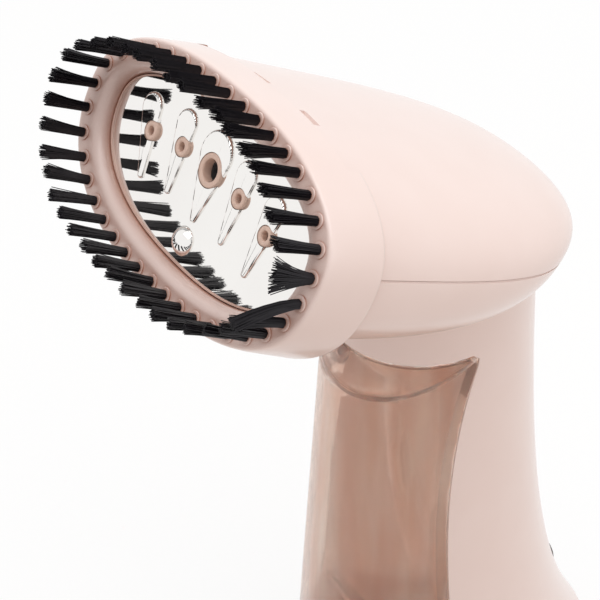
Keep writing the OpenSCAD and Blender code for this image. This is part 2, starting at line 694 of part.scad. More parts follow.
module upper_head_cover() color("SeaShell") in_head() difference() {
    head_solid(0, step_s + collar_gap);
    head_solid(shell_wall, step_s - 2);
    difference() {
        translate([-100, -100, -150]) cube([200, 200, 200]);
        above_seam(part_fit / 2);
    }
    for (side = [0, 1]) mirror([side, 0, 0]) {
        translate([notch_half_width - 0.4, -60, -head_front]) cube([60, 120, 20]);
        translate([12.5, head_top - 1.1, -step_s - collar_gap - 4]) rotate([-14, 0, 0])
            linear_extrude(6) polygon([[-4, 0], [3, 0], [3, 4], [-4, 4]]);
    }
}

// Controls.
module control_panel() color("PeachPuff") difference() {
    union() {
        intersection() {
            difference() {
                column_solid(0, panel_mid - panel_length, panel_mid + panel_length);
                column_solid(shell_wall, panel_mid - panel_length - 1, panel_mid + panel_length + 1);
            }
            translate([0, panel_y - 20, panel_mid]) slot_prism(panel_width - 2 * part_fit, panel_length, 30);
        }
        for (p = board_posts) translate([p[0], board_y + board_thick + part_fit, p[1]]) rotate([-90, 0, 0])
            cylinder(h = column_y + column_back(p[1]) * sqrt(1 - pow(p[0] / column_side(p[1]), 2)) - 1
                - board_y - board_thick - part_fit, d = 4.6);
    }
    translate([0, panel_y - 20, button_height]) slot_prism(button_width + 2 * slide_fit, button_length
        - button_width, 30);
    translate([0, panel_y - 20, slider_height + slider_travel / 2]) slot_prism(slider_width + 2 * slide_fit,
        slider_length - slider_width + slider_travel, 30);
    translate([0, panel_y, lens_z]) rotate([90, 0, 0]) cylinder(h = 30, d = lens_diameter + 2 * push_fit,
        center = true);
    for (p = board_posts) translate([p[0], board_y, p[1]]) rotate([-90, 0, 0])
        cylinder(h = 7, d = board_screw + 0.02);
}
slider_width = 5;
board_screw = 2.2;
board_low = panel_mid - panel_length / 2 - 8;
board_high = panel_mid + panel_length / 2 + 10;
board_posts = [[-9, panel_mid - 6], [9, panel_mid - 6], [-7, panel_mid + 29], [7, panel_mid + 29]];
lens_z = (button_height - button_length / 2 + slider_height + slider_length / 2 + slider_travel) / 2;
flange_y = panel_y - shell_wall - 2.6;
button_y = column_y + column_back(button_height);
module steam_button() color("LightPink") difference() {
    union() {
        intersection() {
            translate([0, flange_y - 1, button_height]) slot_prism(button_width, button_length - button_width, 12);
            column_solid(-button_proud, button_height - button_length, button_height + button_length);
        }
        translate([0, flange_y - 1.6, button_height]) slot_prism(button_width + 3, button_length
            - button_width, 1.6);
        translate([0, flange_y - 2.4, button_height + 2]) rotate([-90, 0, 0]) cylinder(h = 2, d = 4);
    }
    translate([0, button_y + button_proud + 17.4, button_height]) rotate([0, 90, 0]) cylinder(h = 40, r = 18,
        center = true, $fn = 96);
}
module helix(d, wire, h, turns) {
    bar([for (i = [0:12 * turns]) [(d - wire) / 2 * cos(30 * i), (d - wire) / 2 * sin(30 * i),
        wire * 0.6 + (h - 1.2 * wire) * i / (12 * turns)]], wire, 6);
}
module button_spring() color("Silver") translate([0, board_y + board_thick, button_height - 7.5])
    rotate([-90, 0, 0]) helix(6, 0.7, flange_y - 1.6 - button_travel - 0.3 - board_y - board_thick, 4);
module microswitch() color("DimGray") translate([0, board_y + board_thick + 0.05, button_height + 2]) {
    translate([-6.4, 0, -3]) cube([12.8, 3.6, 6]);
    rotate([-90, 0, 0]) cylinder(h = 4.4, d = 2);
}
module power_slider() color("LightPink") {
    translate([0, flange_y - 0.4, slider_height]) slot_prism(slider_width, slider_length - slider_width,
        panel_y + 1.8 - flange_y);
    translate([0, flange_y - 1.2, slider_height]) slot_prism(slider_width + 3, slider_length + 1, 1.6);
    translate([-1, flange_y - 3, slider_height - 1]) cube([2, 2.4, 2]);
    for (i = [-1:1]) translate([-slider_width / 2 + 0.6, panel_y + 1.2, slider_height - 0.4 + 2.2 * i])
        cube([slider_width - 1.2, 1, 0.8]);
}
module switch_body() color("Black") difference() {
    translate([-4, board_y + board_thick + 0.05, slider_height + slider_travel / 2 - 9]) cube([8, 5, 18]);
    translate([-1.4, board_y + board_thick + 3, slider_height - 2]) cube([2.8, 5, slider_travel + 4]);
}
module indicator_lens() color("White") translate([0, board_y + board_thick + 2.2, lens_z]) rotate([-90, 0, 0]) {
    cylinder(h = panel_y + 0.3 - board_y - board_thick - 2.2, d = lens_diameter);
    translate([0, 0, panel_y - shell_wall - 1.4 - board_y - board_thick - 2.2]) cylinder(h = 1,
        d = lens_diameter + 1.6);
}
module control_board() color("DarkGreen") difference() {
    translate([-panel_width / 2 - 3, board_y, board_low]) cube([panel_width + 6, board_thick, board_high
        - board_low]);
    for (p = board_posts) translate([p[0], board_y - 1, p[1]]) rotate([-90, 0, 0])
        cylinder(h = board_thick + 2, d = board_screw + 0.2);
}
module board_parts() color("SteelBlue") {
    translate([5, board_y - 8, panel_mid - 3]) cube([9, 8, 16]);
    translate([9.5, board_y, board_low + 13]) rotate([90, 0, 0]) cylinder(h = 9, d = 8);
    translate([-13, board_y - 3, board_low + 4]) cube([6, 3, 12]);
    translate([0, board_y + board_thick, lens_z]) rotate([-90, 0, 0]) cylinder(h = 2, d = 3);
}
module board_screws() color("Silver") for (p = board_posts) translate([p[0], board_y, p[1]])
    rotate([-90, 0, 0]) screw(board_screw, 6);

// Pump and hoses, upwards along the column.
pump_low = pump_height + 6;
pump_frame_z = pump_low + 10;
pump_top = pump_frame_z + coil_height + 3;
pump_bend = pump_height - outlet_height;
module at_pump(z) translate([0, pump_y, z]) children();
module pump_tube() color("Ivory") difference() {
    union() {
        at_pump(pump_height) cylinder(h = pump_top + 13 - pump_height, d = hose_bore - 0.1);
        at_pump(pump_low) cylinder(h = 10, d = 14);
        at_pump(pump_low) cylinder(h = pump_top - pump_low + 1, d = 9);
        at_pump(pump_top) cylinder(h = 7, d = 13);
    }
    at_pump(pump_height - 1) cylinder(h = pump_top + 16 - pump_height, d = 2);
}
module pump_coil() color("Peru") at_pump(pump_frame_z + 1.5) tube(coil_diameter, 9 + 2 * push_fit, coil_height);
module pump_frame() color("LightSteelBlue") difference() {
    union() {
        at_pump(pump_frame_z) translate([-14.5, -11, 0]) cube([27, 22, 1.5]);
        at_pump(pump_top - 1.5) translate([-14.5, -11, 0]) cube([27, 22, 1.5]);
        at_pump(pump_frame_z) translate([-14.5, -11, 0]) cube([1.5, 22, coil_height + 3]);
    }
    at_pump(pump_frame_z - 1) cylinder(h = coil_height + 6, d = 9.1);
}
module pump_mounts() color("DimGray") at_pump(pump_low + 2) tube(20, 14 + 2 * push_fit, 6);
module inlet_hose() color("WhiteSmoke") {
    translate([0, outlet_y + 9.6, outlet_height]) rotate([-90, 0, 0])
        tube(hose_od, hose_bore, pump_y - pump_bend - outlet_y - 9.6);
    translate([0, pump_y - pump_bend, pump_height]) rotate([0, 90, 0]) rotate_extrude(angle = 90)
        translate([pump_bend, 0]) difference() {
            circle(d = hose_od);
            circle(d = hose_bore);
        }
    at_pump(pump_height) tube(hose_od, hose_bore, 5.8);
}
function to_world(p) = [p[0], face_y + p[2] * cos(head_pitch) + p[1] * sin(head_pitch),
    face_height - p[2] * sin(head_pitch) + p[1] * cos(head_pitch)];
hose_points = [[0, pump_y, pump_top + 7.2], [0, pump_y, pump_top + 14], [0, pump_y - 3, pump_top + 22],
    [-4, column_y + 5, seam_z - 29.2], [-8, column_y + 7, seam_z - 3.2], [-12, column_y + 1, seam_z + 10.8],
    [-16, column_y - 8, seam_z + 20.8],
    to_world([inlet_x, inlet_y, shield_front + 16]), to_world([inlet_x, inlet_y, cover_back + 11]),
    to_world([inlet_x, inlet_y, cover_back + 2.2])];
module outlet_hose() color("WhiteSmoke") difference() {
    bar(smooth(hose_points, 4), hose_od, 10);
    at_pump(pump_top + 6) cylinder(h = 7.2, d = hose_bore);
    in_head() translate([inlet_x, inlet_y, 0]) peg(hose_bore, cover_back + 1, cover_back + 9.2);
}

// Water tank.
module tank_form(inset) {
    steps = 12;
    low = tank_floor + inset;
    high = seam_z - inset;
    intersection() {
        column_solid(inset, low, high);
        rotate([90, 0, 90]) linear_extrude(200, center = true) polygon(concat([[-120, low - 1],
            [-120, high + 1]], [for (i = [steps:-1:0]) let (z = low + (high - low) * sin(90 * i / steps))
                [column_y + tank_edge(z) - inset, z + (i == steps ? 1 : i == 0 ? -1 : 0)]]));
    }
}
module lid_space(shift) {
    translate([0, column_y - tank_edge_top - tank_corner, seam_z - lid_side_drop + shift]) rotate([lid_slope, 0, 0])
        translate([-100, -150, 0]) cube([200, 300, 100]);
}
filler_x = column_x(filler_height, -filler_forward);
filler_turn = atan2(filler_forward / pow(column_front(filler_height), 2),
    filler_x / pow(column_side(filler_height), 2));
module at_filler() {
    translate([-filler_x, column_y - filler_forward, filler_height]) rotate([0, 90, 180 + filler_turn])
        children();
}
module at_outlet(y) {
    translate([0, outlet_y + y, outlet_height]) rotate([-90, 0, 0]) children();
}
module tank_body() color("RosyBrown", 0.7) difference() {
    union() {
        difference() {
            tank_form(0);
            tank_form(tank_wall);
            lid_space(-part_fit / 4);
        }
        at_filler() translate([0, 0, -5]) cylinder(h = 4, d = filler_bore + 4);
    }
    at_filler() translate([0, 0, -8]) cylinder(h = 20, d = filler_bore);
    at_filler() translate([0, 0, -1.4]) cylinder(h = 5, d = filler_bore + 4.6);
    at_filler() translate([0, -2.8, -0.7]) cube([filler_bore / 2 + 4.3, 5.6, 5]);
    at_outlet(-tank_wall - 2) cylinder(h = 6, d = outlet_od + 2 * push_fit);
}
module tank_lid() color("RosyBrown", 0.8) intersection() {
    difference() {
        tank_form(0);
        tank_form(tank_wall);
    }
    lid_space(part_fit / 4);
}
module tank_outlet() color("Sienna") difference() {
    union() {
        at_outlet(-8) cylinder(h = 15.5, d = outlet_od);
        at_outlet(-tank_wall - 1.9) cylinder(h = 1.8, d = outlet_od + 4);
    }
    at_outlet(-9) cylinder(h = 20, d = 3.6);
    at_outlet(-6.6) cylinder(h = 12.6, d = outlet_od - 3.4);
    at_outlet(4.4) rotate_extrude() translate([outlet_od / 2 + 0.3, 0]) circle(d = 1.9);
}
module socket_seal() color("Black") at_outlet(4.4) rotate_extrude() translate([outlet_od / 2 + 0.25, 0])
    circle(d = 1.7);
module valve_poppet() color("White") {
    at_outlet(-6.5) cylinder(h = 2.5, d = outlet_od - 3.8);
    at_outlet(-4.5) cylinder(h = 7, d = 2.4);
}
module valve_spring() color("Silver") at_outlet(-2.2) helix(outlet_od - 4.4, 0.6, 8.1, 4);
module tank_filter() color("White") difference() {
    at_outlet(-12) cylinder(h = 6, d = outlet_od + 2.4);
    at_outlet(-10.6) cylinder(h = 6, d = outlet_od + 2 * push_fit);
    for (a = [0:60:300]) at_outlet(-13) rotate([0, 0, a]) translate([2.8, 0, 0]) cylinder(h = 4, d = 1.6);
    at_outlet(-13) cylinder(h = 4, d = 1.6);
}
module filler_stopper() color("DarkSalmon") at_filler() difference() {
    union() {
        translate([0, 0, -4.8]) cylinder(h = 4.6, d = filler_bore - 2 * push_fit);
        translate([0, 0, -1.3]) cylinder(h = 1.7, d = filler_bore + 4);
        translate([filler_bore / 2, -2.5, -0.4]) cube([4, 5, 0.8]);
    }
    translate([0, 0, -5]) cylinder(h = 4, d = filler_bore - 3);
}
module tank_socket() color("Gainsboro") difference() {
    union() {
        at_outlet(tank_gap + 0.1) cylinder(h = 9, d = outlet_od + 5.8);
        at_outlet(tank_gap + shell_wall + 0.1) cylinder(h = 2, d = outlet_od + 10);
        at_outlet(tank_gap + 9) cylinder(h = 7.4, d = hose_bore - 0.1);
    }
    at_outlet(0) cylinder(h = 8.2, d = outlet_od + 2.3);
    at_outlet(0) cylinder(h = 20, d = 2.4);
}

// Base.
module base_plate() color("Gainsboro") difference() {
    union() {
        translate([0, 0, base_z]) linear_extrude(base_thick) polygon(column_points(base_z + base_thick,
            shell_wall + slide_fit));
        for (side = [-1, 1]) at_pump(base_z + 1) translate([side * 11.6 - 1.4, -6, 0])
            cube([2.8, 12, pump_low + 4 - base_z]);
        at_pump(pump_low + 0.5) tube(26, 20 + 2 * push_fit, 7);
        at_pump(pump_low + 0.4) tube(21, 15, 1.5);
    }
    for (p = base_posts) translate([p[0], p[1], 0]) cylinder(h = 20, d = case_screw + 0.3);
}
module base_pad() color("DimGray") linear_extrude(pad_thick) difference() {
    polygon(column_points(pad_thick, shell_wall + slide_fit));
    difference() {
        polygon(column_points(pad_thick, shell_wall + slide_fit + pad_ring));
        translate([-100, -pad_ring / 2]) square([200, pad_ring]);
    }
    for (p = base_posts) translate([p[0], p[1]]) circle(d = 2 * case_screw + 0.8);
}
module base_screws() color("Silver") for (p = base_posts) translate([p[0], p[1], base_z])
    screw(case_screw, 10);
module cord_gland() color("Gray") translate([0, column_y + column_back(gland_height), gland_height])
    rotate([-90, 0, 0]) rotate_extrude() polygon([[gland_bore / 2, -8], [gland_diameter / 2 + 2, -8],
        [gland_diameter / 2 + 2, -6], [gland_diameter / 2 - push_fit, -6], [gland_diameter / 2 - push_fit, 0.6],
        [gland_bore / 2, 0.6]]);
module terminal_block() color("White") difference() {
    translate([3, column_y + 23, base_z + base_thick]) cube([18, 10, 10]);
    for (i = [0:2]) {
        translate([6 + 6 * i, column_y + 22, base_z + base_thick + 4]) rotate([-90, 0, 0]) cylinder(h = 12, d = 3);
        translate([6 + 6 * i, column_y + 28, base_z + base_thick + 4]) cylinder(h = 8, d = 3.4);
    }
}

brush_collar();
bristle_tufts();
front_bezel();
steam_plate();
plate_gasket();
centre_nozzle();
side_nozzles();
boiler_block();
boiler_cover();
heating_element();
element_terminals();
thermostat();
thermal_fuse();
heat_shield();
boiler_screws();
upper_head_cover();
body_shell_right();
body_shell_left();
control_panel();
control_board();
microswitch();
board_parts();
board_screws();
steam_button();
button_spring();
power_slider();
switch_body();
indicator_lens();
pump_coil();
pump_frame();
pump_tube();
pump_mounts();
inlet_hose();
outlet_hose();
tank_socket();
socket_seal();
tank_body();
tank_lid();
tank_outlet();
valve_poppet();
valve_spring();
tank_filter();
filler_stopper();
base_plate();
base_pad();
base_screws();
shell_screws();
cord_gland();
terminal_block();
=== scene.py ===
import math
import random

import bpy
import numpy as np
from mathutils import Matrix, Vector


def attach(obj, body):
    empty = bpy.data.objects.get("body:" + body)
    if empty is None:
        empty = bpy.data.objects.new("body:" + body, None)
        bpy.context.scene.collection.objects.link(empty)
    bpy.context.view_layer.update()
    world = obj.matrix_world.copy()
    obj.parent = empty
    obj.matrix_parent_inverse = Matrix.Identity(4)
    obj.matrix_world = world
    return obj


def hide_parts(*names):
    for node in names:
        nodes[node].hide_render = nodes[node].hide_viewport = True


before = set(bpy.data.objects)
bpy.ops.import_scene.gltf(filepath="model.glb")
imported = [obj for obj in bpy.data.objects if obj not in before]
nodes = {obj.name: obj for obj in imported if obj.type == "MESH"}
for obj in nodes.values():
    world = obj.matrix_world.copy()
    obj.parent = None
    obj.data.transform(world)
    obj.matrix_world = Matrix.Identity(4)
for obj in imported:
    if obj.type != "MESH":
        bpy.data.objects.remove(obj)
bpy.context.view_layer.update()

# Z is up and the steam head looks towards -Y. The object's sizes are in millimetres, and the lamps and the
# floor are placed in metres.
mm = 0.001
stance = {"faceY": -76.25, "faceZ": 222.0, "tilt": 31.2, "columnY": -9.65, "seamZ": 151.2}
tiltCos = math.cos(math.radians(stance["tilt"]))
tiltSin = math.sin(math.radians(stance["tilt"]))
cutterSpan = (-120, 120)  # cutters run past the object on both sides
innerFacets = (48, 16)  # sides and rings of the hollows


def inHead(x, up, back):
    # a place on the steam face, back behind it, as a place in the room
    return Vector((x, stance["faceY"] + back * tiltCos + up * tiltSin,
                   stance["faceZ"] - back * tiltSin + up * tiltCos)) * mm


def inRoom(x, y, z):
    return Vector((x, y, z)) * mm


def pick(*objects):
    bpy.ops.object.select_all(action="DESELECT")
    for obj in objects:
        obj.select_set(True)
    bpy.context.view_layer.objects.active = objects[-1]


def applied(obj, kind, **settings):
    pick(obj)
    modifier = obj.modifiers.new(kind.title(), kind)
    for name, value in settings.items():
        setattr(modifier, name, value)
    bpy.ops.object.modifier_apply(modifier=modifier.name)
    return obj


def cutBy(obj, *cutters, operation="DIFFERENCE"):
    # the solver works to a fixed tolerance, so it gets both shapes a thousand times larger
    obj.data.transform(Matrix.Scale(1000, 4))
    for cutter in cutters:
        cutter.data.transform(Matrix.Scale(1000, 4))
        applied(obj, "BOOLEAN", operation=operation, object=cutter, solver="EXACT")
        bpy.data.objects.remove(cutter)
    obj.data.transform(Matrix.Scale(mm, 4))
    return obj


def smoothed(obj, angle=35):
    pick(obj)
    bpy.ops.object.shade_smooth_by_angle(angle=math.radians(angle))
    return obj


def signedPower(value, exponent):
    return math.copysign(abs(value) ** exponent, value)


def ovalPoint(turn, halfWidth, top, bottom, squareness):
    up = math.sin(turn)
    return (halfWidth * signedPower(math.cos(turn), 2 / squareness),
            (top if up > 0 else bottom) * signedPower(up, 2 / squareness))


def oval(halfWidth, top, bottom, squareness, count):
    return [ovalPoint(2 * math.pi * i / count, halfWidth, top, bottom, squareness) for i in range(count)]


def facesOut(obj):
    pick(obj)
    bpy.ops.object.mode_set(mode="EDIT")
    bpy.ops.mesh.select_all(action="SELECT")
    bpy.ops.mesh.normals_make_consistent(inside=False)
    bpy.ops.object.mode_set(mode="OBJECT")


def loft(name, rings, closed=False):
    # a circle is extruded once for each further ring, and then every ring gets its own outline
    count = len(rings[0])
    bpy.ops.object.select_all(action="DESELECT")
    bpy.ops.mesh.primitive_circle_add(vertices=count, radius=1)
    obj = bpy.context.object
    obj.name = name
    bpy.ops.object.mode_set(mode="EDIT")
    for _ in rings[1:]:
        bpy.ops.mesh.extrude_region_move(TRANSFORM_OT_translate={"value": (0, 0, 1)})
    bpy.ops.mesh.select_all(action="DESELECT")
    bpy.ops.mesh.select_non_manifold(use_wire=False, use_multi_face=False, use_non_contiguous=False,
                                     use_verts=False)
    if closed:
        bpy.ops.mesh.bridge_edge_loops()
    else:
        bpy.ops.mesh.fill_holes(sides=0)
    bpy.ops.object.mode_set(mode="OBJECT")
    for vertex in obj.data.vertices:
        level = int(round(vertex.co.z))
        step = int(round(math.atan2(vertex.co.y, vertex.co.x) / (2 * math.pi) * count)) % count
        vertex.co = rings[level][step]
    facesOut(obj)
    return obj


def block(name, low, high):
    bpy.ops.object.select_all(action="DESELECT")
    bpy.ops.mesh.primitive_cube_add(size=1, location=[(a + b) / 2 * mm for a, b in zip(low, high)])
    obj = bpy.context.object
    obj.name = name
    obj.scale = [(b - a) * mm for a, b in zip(low, high)]
    bpy.ops.object.transform_apply(location=True, rotation=True, scale=True)
    return obj


def rod(name, start, end, radius, sides=32):
    # a cylinder from start to end, both places in the room in metres
    axis = end - start
    bpy.ops.object.select_all(action="DESELECT")
    bpy.ops.mesh.primitive_cylinder_add(vertices=sides, radius=radius * mm, depth=axis.length,
                                        location=(start + end) / 2,
                                        rotation=axis.to_track_quat("Z", "Y").to_euler())
    obj = bpy.context.object
    obj.name = name
    bpy.ops.object.transform_apply(location=True, rotation=True, scale=True)
    return obj


def ownCopy(obj, name):
    copy = bpy.data.objects.new(name, obj.data.copy())
    bpy.context.scene.collection.objects.link(copy)
    return copy


def mouldedCopy(node, name, bevel=0.3, angle=40):
    # the node's own shape, welded and with its edges rounded as a mould or a press leaves them
    obj = ownCopy(nodes[node], name)
    pick(obj)
    bpy.ops.object.mode_set(mode="EDIT")
    bpy.ops.mesh.select_all(action="SELECT")
    bpy.ops.mesh.remove_doubles(threshold=0.00001)
    bpy.ops.mesh.dissolve_limited(angle_limit=math.radians(0.4))
    bpy.ops.object.mode_set(mode="OBJECT")
    if bevel:
        applied(obj, "BEVEL", width=bevel * mm, segments=3, limit_method="ANGLE",
                angle_limit=math.radians(angle), harden_normals=False)
    return obj


def joined(*objects):
    pick(*objects)
    bpy.ops.object.join()
    return bpy.context.object


def standsFor(piece, body, slot, *names):
    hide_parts(*names)
    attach(piece, body)
    return piece


def linear(hexColour):
    channels = [int(hexColour[i:i + 2], 16) / 255 for i in (1, 3, 5)]
    return tuple(c / 12.92 if c <= 0.04045 else ((c + 0.055) / 1.055) ** 2.4 for c in channels) + (1.0,)


def addNode(tree, kind, settings=None, values=None, links=None):
    node = tree.nodes.new(kind)
    for name, value in (settings or {}).items():
        setattr(node, name, value)
    for socket, value in (values or {}).items():
        node.inputs[socket].default_value = value
    for socket, source in (links or {}).items():
        tree.links.new(source, node.inputs[socket])
    return node


def seenAsWhite(tree):
    # 1 for a ray from the camera or through glass, and for a mirrored ray that no wall has scattered
    rays = addNode(tree, "ShaderNodeLightPath").outputs
    unscattered = addNode(tree, "ShaderNodeMath", {"operation": "SUBTRACT", "use_clamp": True},
                          links={0: rays["Is Glossy Ray"], 1: rays["Diffuse Depth"]})
    clear = addNode(tree, "ShaderNodeMath", {"operation": "MAXIMUM"},
                    links={0: rays["Is Camera Ray"], 1: rays["Is Transmission Ray"]})
    return addNode(tree, "ShaderNodeMath", {"operation": "MAXIMUM"},
                   links={0: clear.outputs[0], 1: unscattered.outputs[0]}).outputs[0]


def newMaterial(name):
    material = bpy.data.materials.new(name)
    material.use_nodes = True
    tree = material.node_tree
    tree.nodes.clear()
    place = addNode(tree, "ShaderNodeTexCoord").outputs["Object"]
    return material, tree, place


def finishMaterial(tree, shader):
    addNode(tree, "ShaderNodeOutputMaterial", links={"Surface": shader})


def mouldedPlastic(name, light, dark, roughness, grain, coat=0.0, drift=14.0, bump=0.02):
    # injection-moulded: a slow drift of tone, and a spark-eroded grain of the mould in the gloss
    material, tree, place = newMaterial(name)
    tone = addNode(tree, "ShaderNodeTexNoise", links={"Vector": place},
                   values={"Scale": 1000 / drift, "Detail": 2.0, "Roughness": 0.5})
    fine = addNode(tree, "ShaderNodeTexNoise", values={"Scale": 1000 / grain, "Detail": 3.0},
                   links={"Vector": place})
    colour = addNode(tree, "ShaderNodeMix", {"data_type": "RGBA"}, values={6: linear(dark), 7: linear(light)},
                     links={0: tone.outputs["Fac"]})
    gloss = addNode(tree, "ShaderNodeMapRange", links={"Value": fine.outputs["Fac"]},
                    values={"To Min": roughness * 0.82, "To Max": roughness * 1.18})
    relief = addNode(tree, "ShaderNodeBump", values={"Strength": bump, "Distance": 0.0002},
                     links={"Height": fine.outputs["Fac"]})
    shader = addNode(tree, "ShaderNodeBsdfPrincipled",
                     values={"IOR": 1.52, "Coat Weight": coat, "Coat Roughness": 0.12},
                     links={"Base Color": colour.outputs[2], "Roughness": gloss.outputs["Result"],
                            "Normal": relief.outputs["Normal"]})
    finishMaterial(tree, shader.outputs["BSDF"])
    return material


def paintedCornerShade(material, deep, reach, closed=0.45):
    # painted shade: where walls close in, the base colour goes to a deeper tone. It stands in for the shade
    # of corners, and for light that bounces between close walls and takes up their colour
    tree = material.node_tree
    shader = [node for node in tree.nodes if node.type == "BSDF_PRINCIPLED"][0]
    plain = shader.inputs["Base Color"].links[0].from_socket
    corner = addNode(tree, "ShaderNodeAmbientOcclusion", {"samples": 8}, values={"Distance": reach * mm})
    share = addNode(tree, "ShaderNodeMapRange", values={"From Min": closed, "From Max": 1.0},
                    links={"Value": corner.outputs["AO"]})
    colour = addNode(tree, "ShaderNodeMix", {"data_type": "RGBA"}, values={6: linear(deep)},
                     links={0: share.outputs["Result"], 7: plain})
    tree.links.new(colour.outputs[2], shader.inputs["Base Color"])


def workedMetal(name, light, dark, roughness, grain, stretch=(1, 1, 1), drift=11.11, bump=0.05):
    # cast, drawn or rolled: the grain is drawn out along the way the metal was worked
    material, tree, place = newMaterial(name)
    turned = addNode(tree, "ShaderNodeMapping", values={"Scale": stretch}, links={"Vector": place})
    fine = addNode(tree, "ShaderNodeTexNoise", values={"Scale": 1000 / grain, "Detail": 4.0},
                   links={"Vector": turned.outputs["Vector"]})
    tone = addNode(tree, "ShaderNodeTexNoise", values={"Scale": 1000 / drift, "Detail": 2.0},
                   links={"Vector": place})
    colour = addNode(tree, "ShaderNodeMix", {"data_type": "RGBA"}, values={6: linear(dark), 7: linear(light)},
                     links={0: tone.outputs["Fac"]})
    gloss = addNode(tree, "ShaderNodeMapRange", links={"Value": fine.outputs["Fac"]},
                    values={"To Min": roughness * 0.7, "To Max": roughness * 1.3})
    relief = addNode(tree, "ShaderNodeBump", values={"Strength": bump, "Distance": 0.0002},
                     links={"Height": fine.outputs["Fac"]})
    shader = addNode(tree, "ShaderNodeBsdfPrincipled", values={"Metallic": 1.0},
                     links={"Base Color": colour.outputs[2], "Roughness": gloss.outputs["Result"],
                            "Normal": relief.outputs["Normal"]})
    finishMaterial(tree, shader.outputs["BSDF"])
    return material


view = {"place": (315.1, -237.25, 475.4), "right": (0.544, 0.8376, -0.0454),
        "up": (-0.517, 0.3777, 0.7686), "lens": 109.4}
right = Vector(view["right"]).normalized()
back = right.cross(Vector(view["up"])).normalized()
up = back.cross(right)
camera = bpy.data.objects.new("camera", bpy.data.cameras.new("camera"))
camera.data.lens = view["lens"]
camera.data.sensor_width = 36
camera.data.clip_start = 0.01
turned = Matrix((right, up, back)).transposed().to_4x4()
camera.matrix_world = Matrix.Translation(Vector(view["place"]) * mm) @ turned
bpy.context.scene.collection.objects.link(camera)
bpy.context.scene.camera = camera
bpy.context.scene.view_settings.view_transform = "Standard"

world = bpy.data.worlds.new("studio")
bpy.context.scene.world = world
world.use_nodes = True
sky = world.node_tree
sky.nodes.clear()
# a bright studio sweep stands behind and above the object, and the room on the near side is dimmer
sweep = {"towards": (-0.2, 0.4, 0.89), "near": 0.36, "far": 0.95}
seen = seenAsWhite(sky)
facing = addNode(sky, "ShaderNodeVectorMath", {"operation": "DOT_PRODUCT"}, values={1: sweep["towards"]},
                 links={0: addNode(sky, "ShaderNodeTexCoord").outputs["Generated"]})
level = addNode(sky, "ShaderNodeMapRange", links={"Value": facing.outputs["Value"]},
                values={"From Min": -1.0, "From Max": 1.0, "To Min": sweep["near"], "To Max": sweep["far"]})
light = addNode(sky, "ShaderNodeMix", {"data_type": "FLOAT"}, values={3: 1.0},
                links={0: seen, 2: level.outputs["Result"]})
backdrop = addNode(sky, "ShaderNodeBackground", values={"Color": (1, 1, 1, 1)},
                   links={"Strength": light.outputs[0]})
addNode(sky, "ShaderNodeOutputWorld", links={"Surface": backdrop.outputs[0]})

lamps = {"overhead": {"place": (0.15, 0.0, 1.3), "size": (1.0, 1.0), "power": 5.2},
         "rightBank": {"place": (1.2, 0.5, 0.9), "size": (0.7, 1.1), "power": 1.5}}
for name, box in lamps.items():
    lamp = bpy.data.objects.new(name, bpy.data.lights.new(name, "AREA"))
    lamp.data.shape = "RECTANGLE"
    lamp.data.size, lamp.data.size_y = box["size"]
    lamp.data.energy = box["power"]
    lamp.location = box["place"]
    lamp.rotation_euler = (Vector((0, 0, 0.2)) - Vector(box["place"])).to_track_quat("-Z", "Y").to_euler()
    bpy.context.scene.collection.objects.link(lamp)

# the floor is a sheet of matte paper that looks white, and throws less light back up than it shows
sheet = {"size": 8.0, "light": "#F8F6F5", "dark": "#F2F0EE", "bounce": "#DACBC2", "glow": 0.85, "grain": 2.5}
floorMaterial, tree, place = newMaterial("floorPaper")
grain = addNode(tree, "ShaderNodeTexNoise", values={"Scale": 1000 / sheet["grain"], "Detail": 2.0},
                links={"Vector": place})
paper = addNode(tree, "ShaderNodeMix", {"data_type": "RGBA"},
                values={6: linear(sheet["dark"]), 7: linear(sheet["light"])}, links={0: grain.outputs["Fac"]})
glow = addNode(tree, "ShaderNodeEmission", values={"Color": (1, 1, 1, 1), "Strength": 1.0})
seen = seenAsWhite(tree)
bounce = addNode(tree, "ShaderNodeMix", {"data_type": "RGBA"}, values={6: linear(sheet["bounce"])},
                 links={0: seen, 7: paper.outputs[2]})
matte = addNode(tree, "ShaderNodeBsdfDiffuse", links={"Color": bounce.outputs[2]})
share = addNode(tree, "ShaderNodeMath", {"operation": "MULTIPLY"}, values={1: sheet["glow"]}, links={0: seen})
mixed = addNode(tree, "ShaderNodeMixShader",
                links={0: share.outputs[0], 1: matte.outputs[0], 2: glow.outputs[0]})
finishMaterial(tree, mixed.outputs[0])
bpy.ops.object.select_all(action="DESELECT")
bpy.ops.mesh.primitive_plane_add(size=sheet["size"], location=(0, 0, -0.0002))
floor = bpy.context.object
floor.name = "floor"
floor.data.materials.append(floorMaterial)
print("stage: camera, lights and floor")

# injection-moulded housings in ABS, PBT and PPS: a soft even gloss, with a coat where they shine
blushAbs = mouldedPlastic("blushAbsMoulded", "#ECD8D1", "#E8D2CA", 0.3, 0.35, coat=0.5)
collarAbsPaintedShade = mouldedPlastic("blushAbsCollarPaintedShade", "#ECD8D1", "#E8D2CA", 0.3, 0.35, coat=0.5)
# painted shade: the collar's colour deepens to a warm brown in the roll of its opening, among the tuft roots
# and in other close corners
paintedCornerShade(collarAbsPaintedShade, "#A9735E", 18)
blushPbt = mouldedPlastic("blushPbtMoulded", "#D9B7A9", "#CBA697", 0.32, 0.4, coat=0.15)
blushPps = mouldedPlastic("blushPpsNozzle", "#EBCDBD", "#DDB9A6", 0.36, 0.3)
roseAbs = mouldedPlastic("roseAbsMoulded", "#DDB9AC", "#D5AE9F", 0.3, 0.35, coat=0.2)
greyAbs = mouldedPlastic("greyAbsMoulded", "#CFC9C6", "#C3BDBA", 0.5, 0.4, bump=0.06)
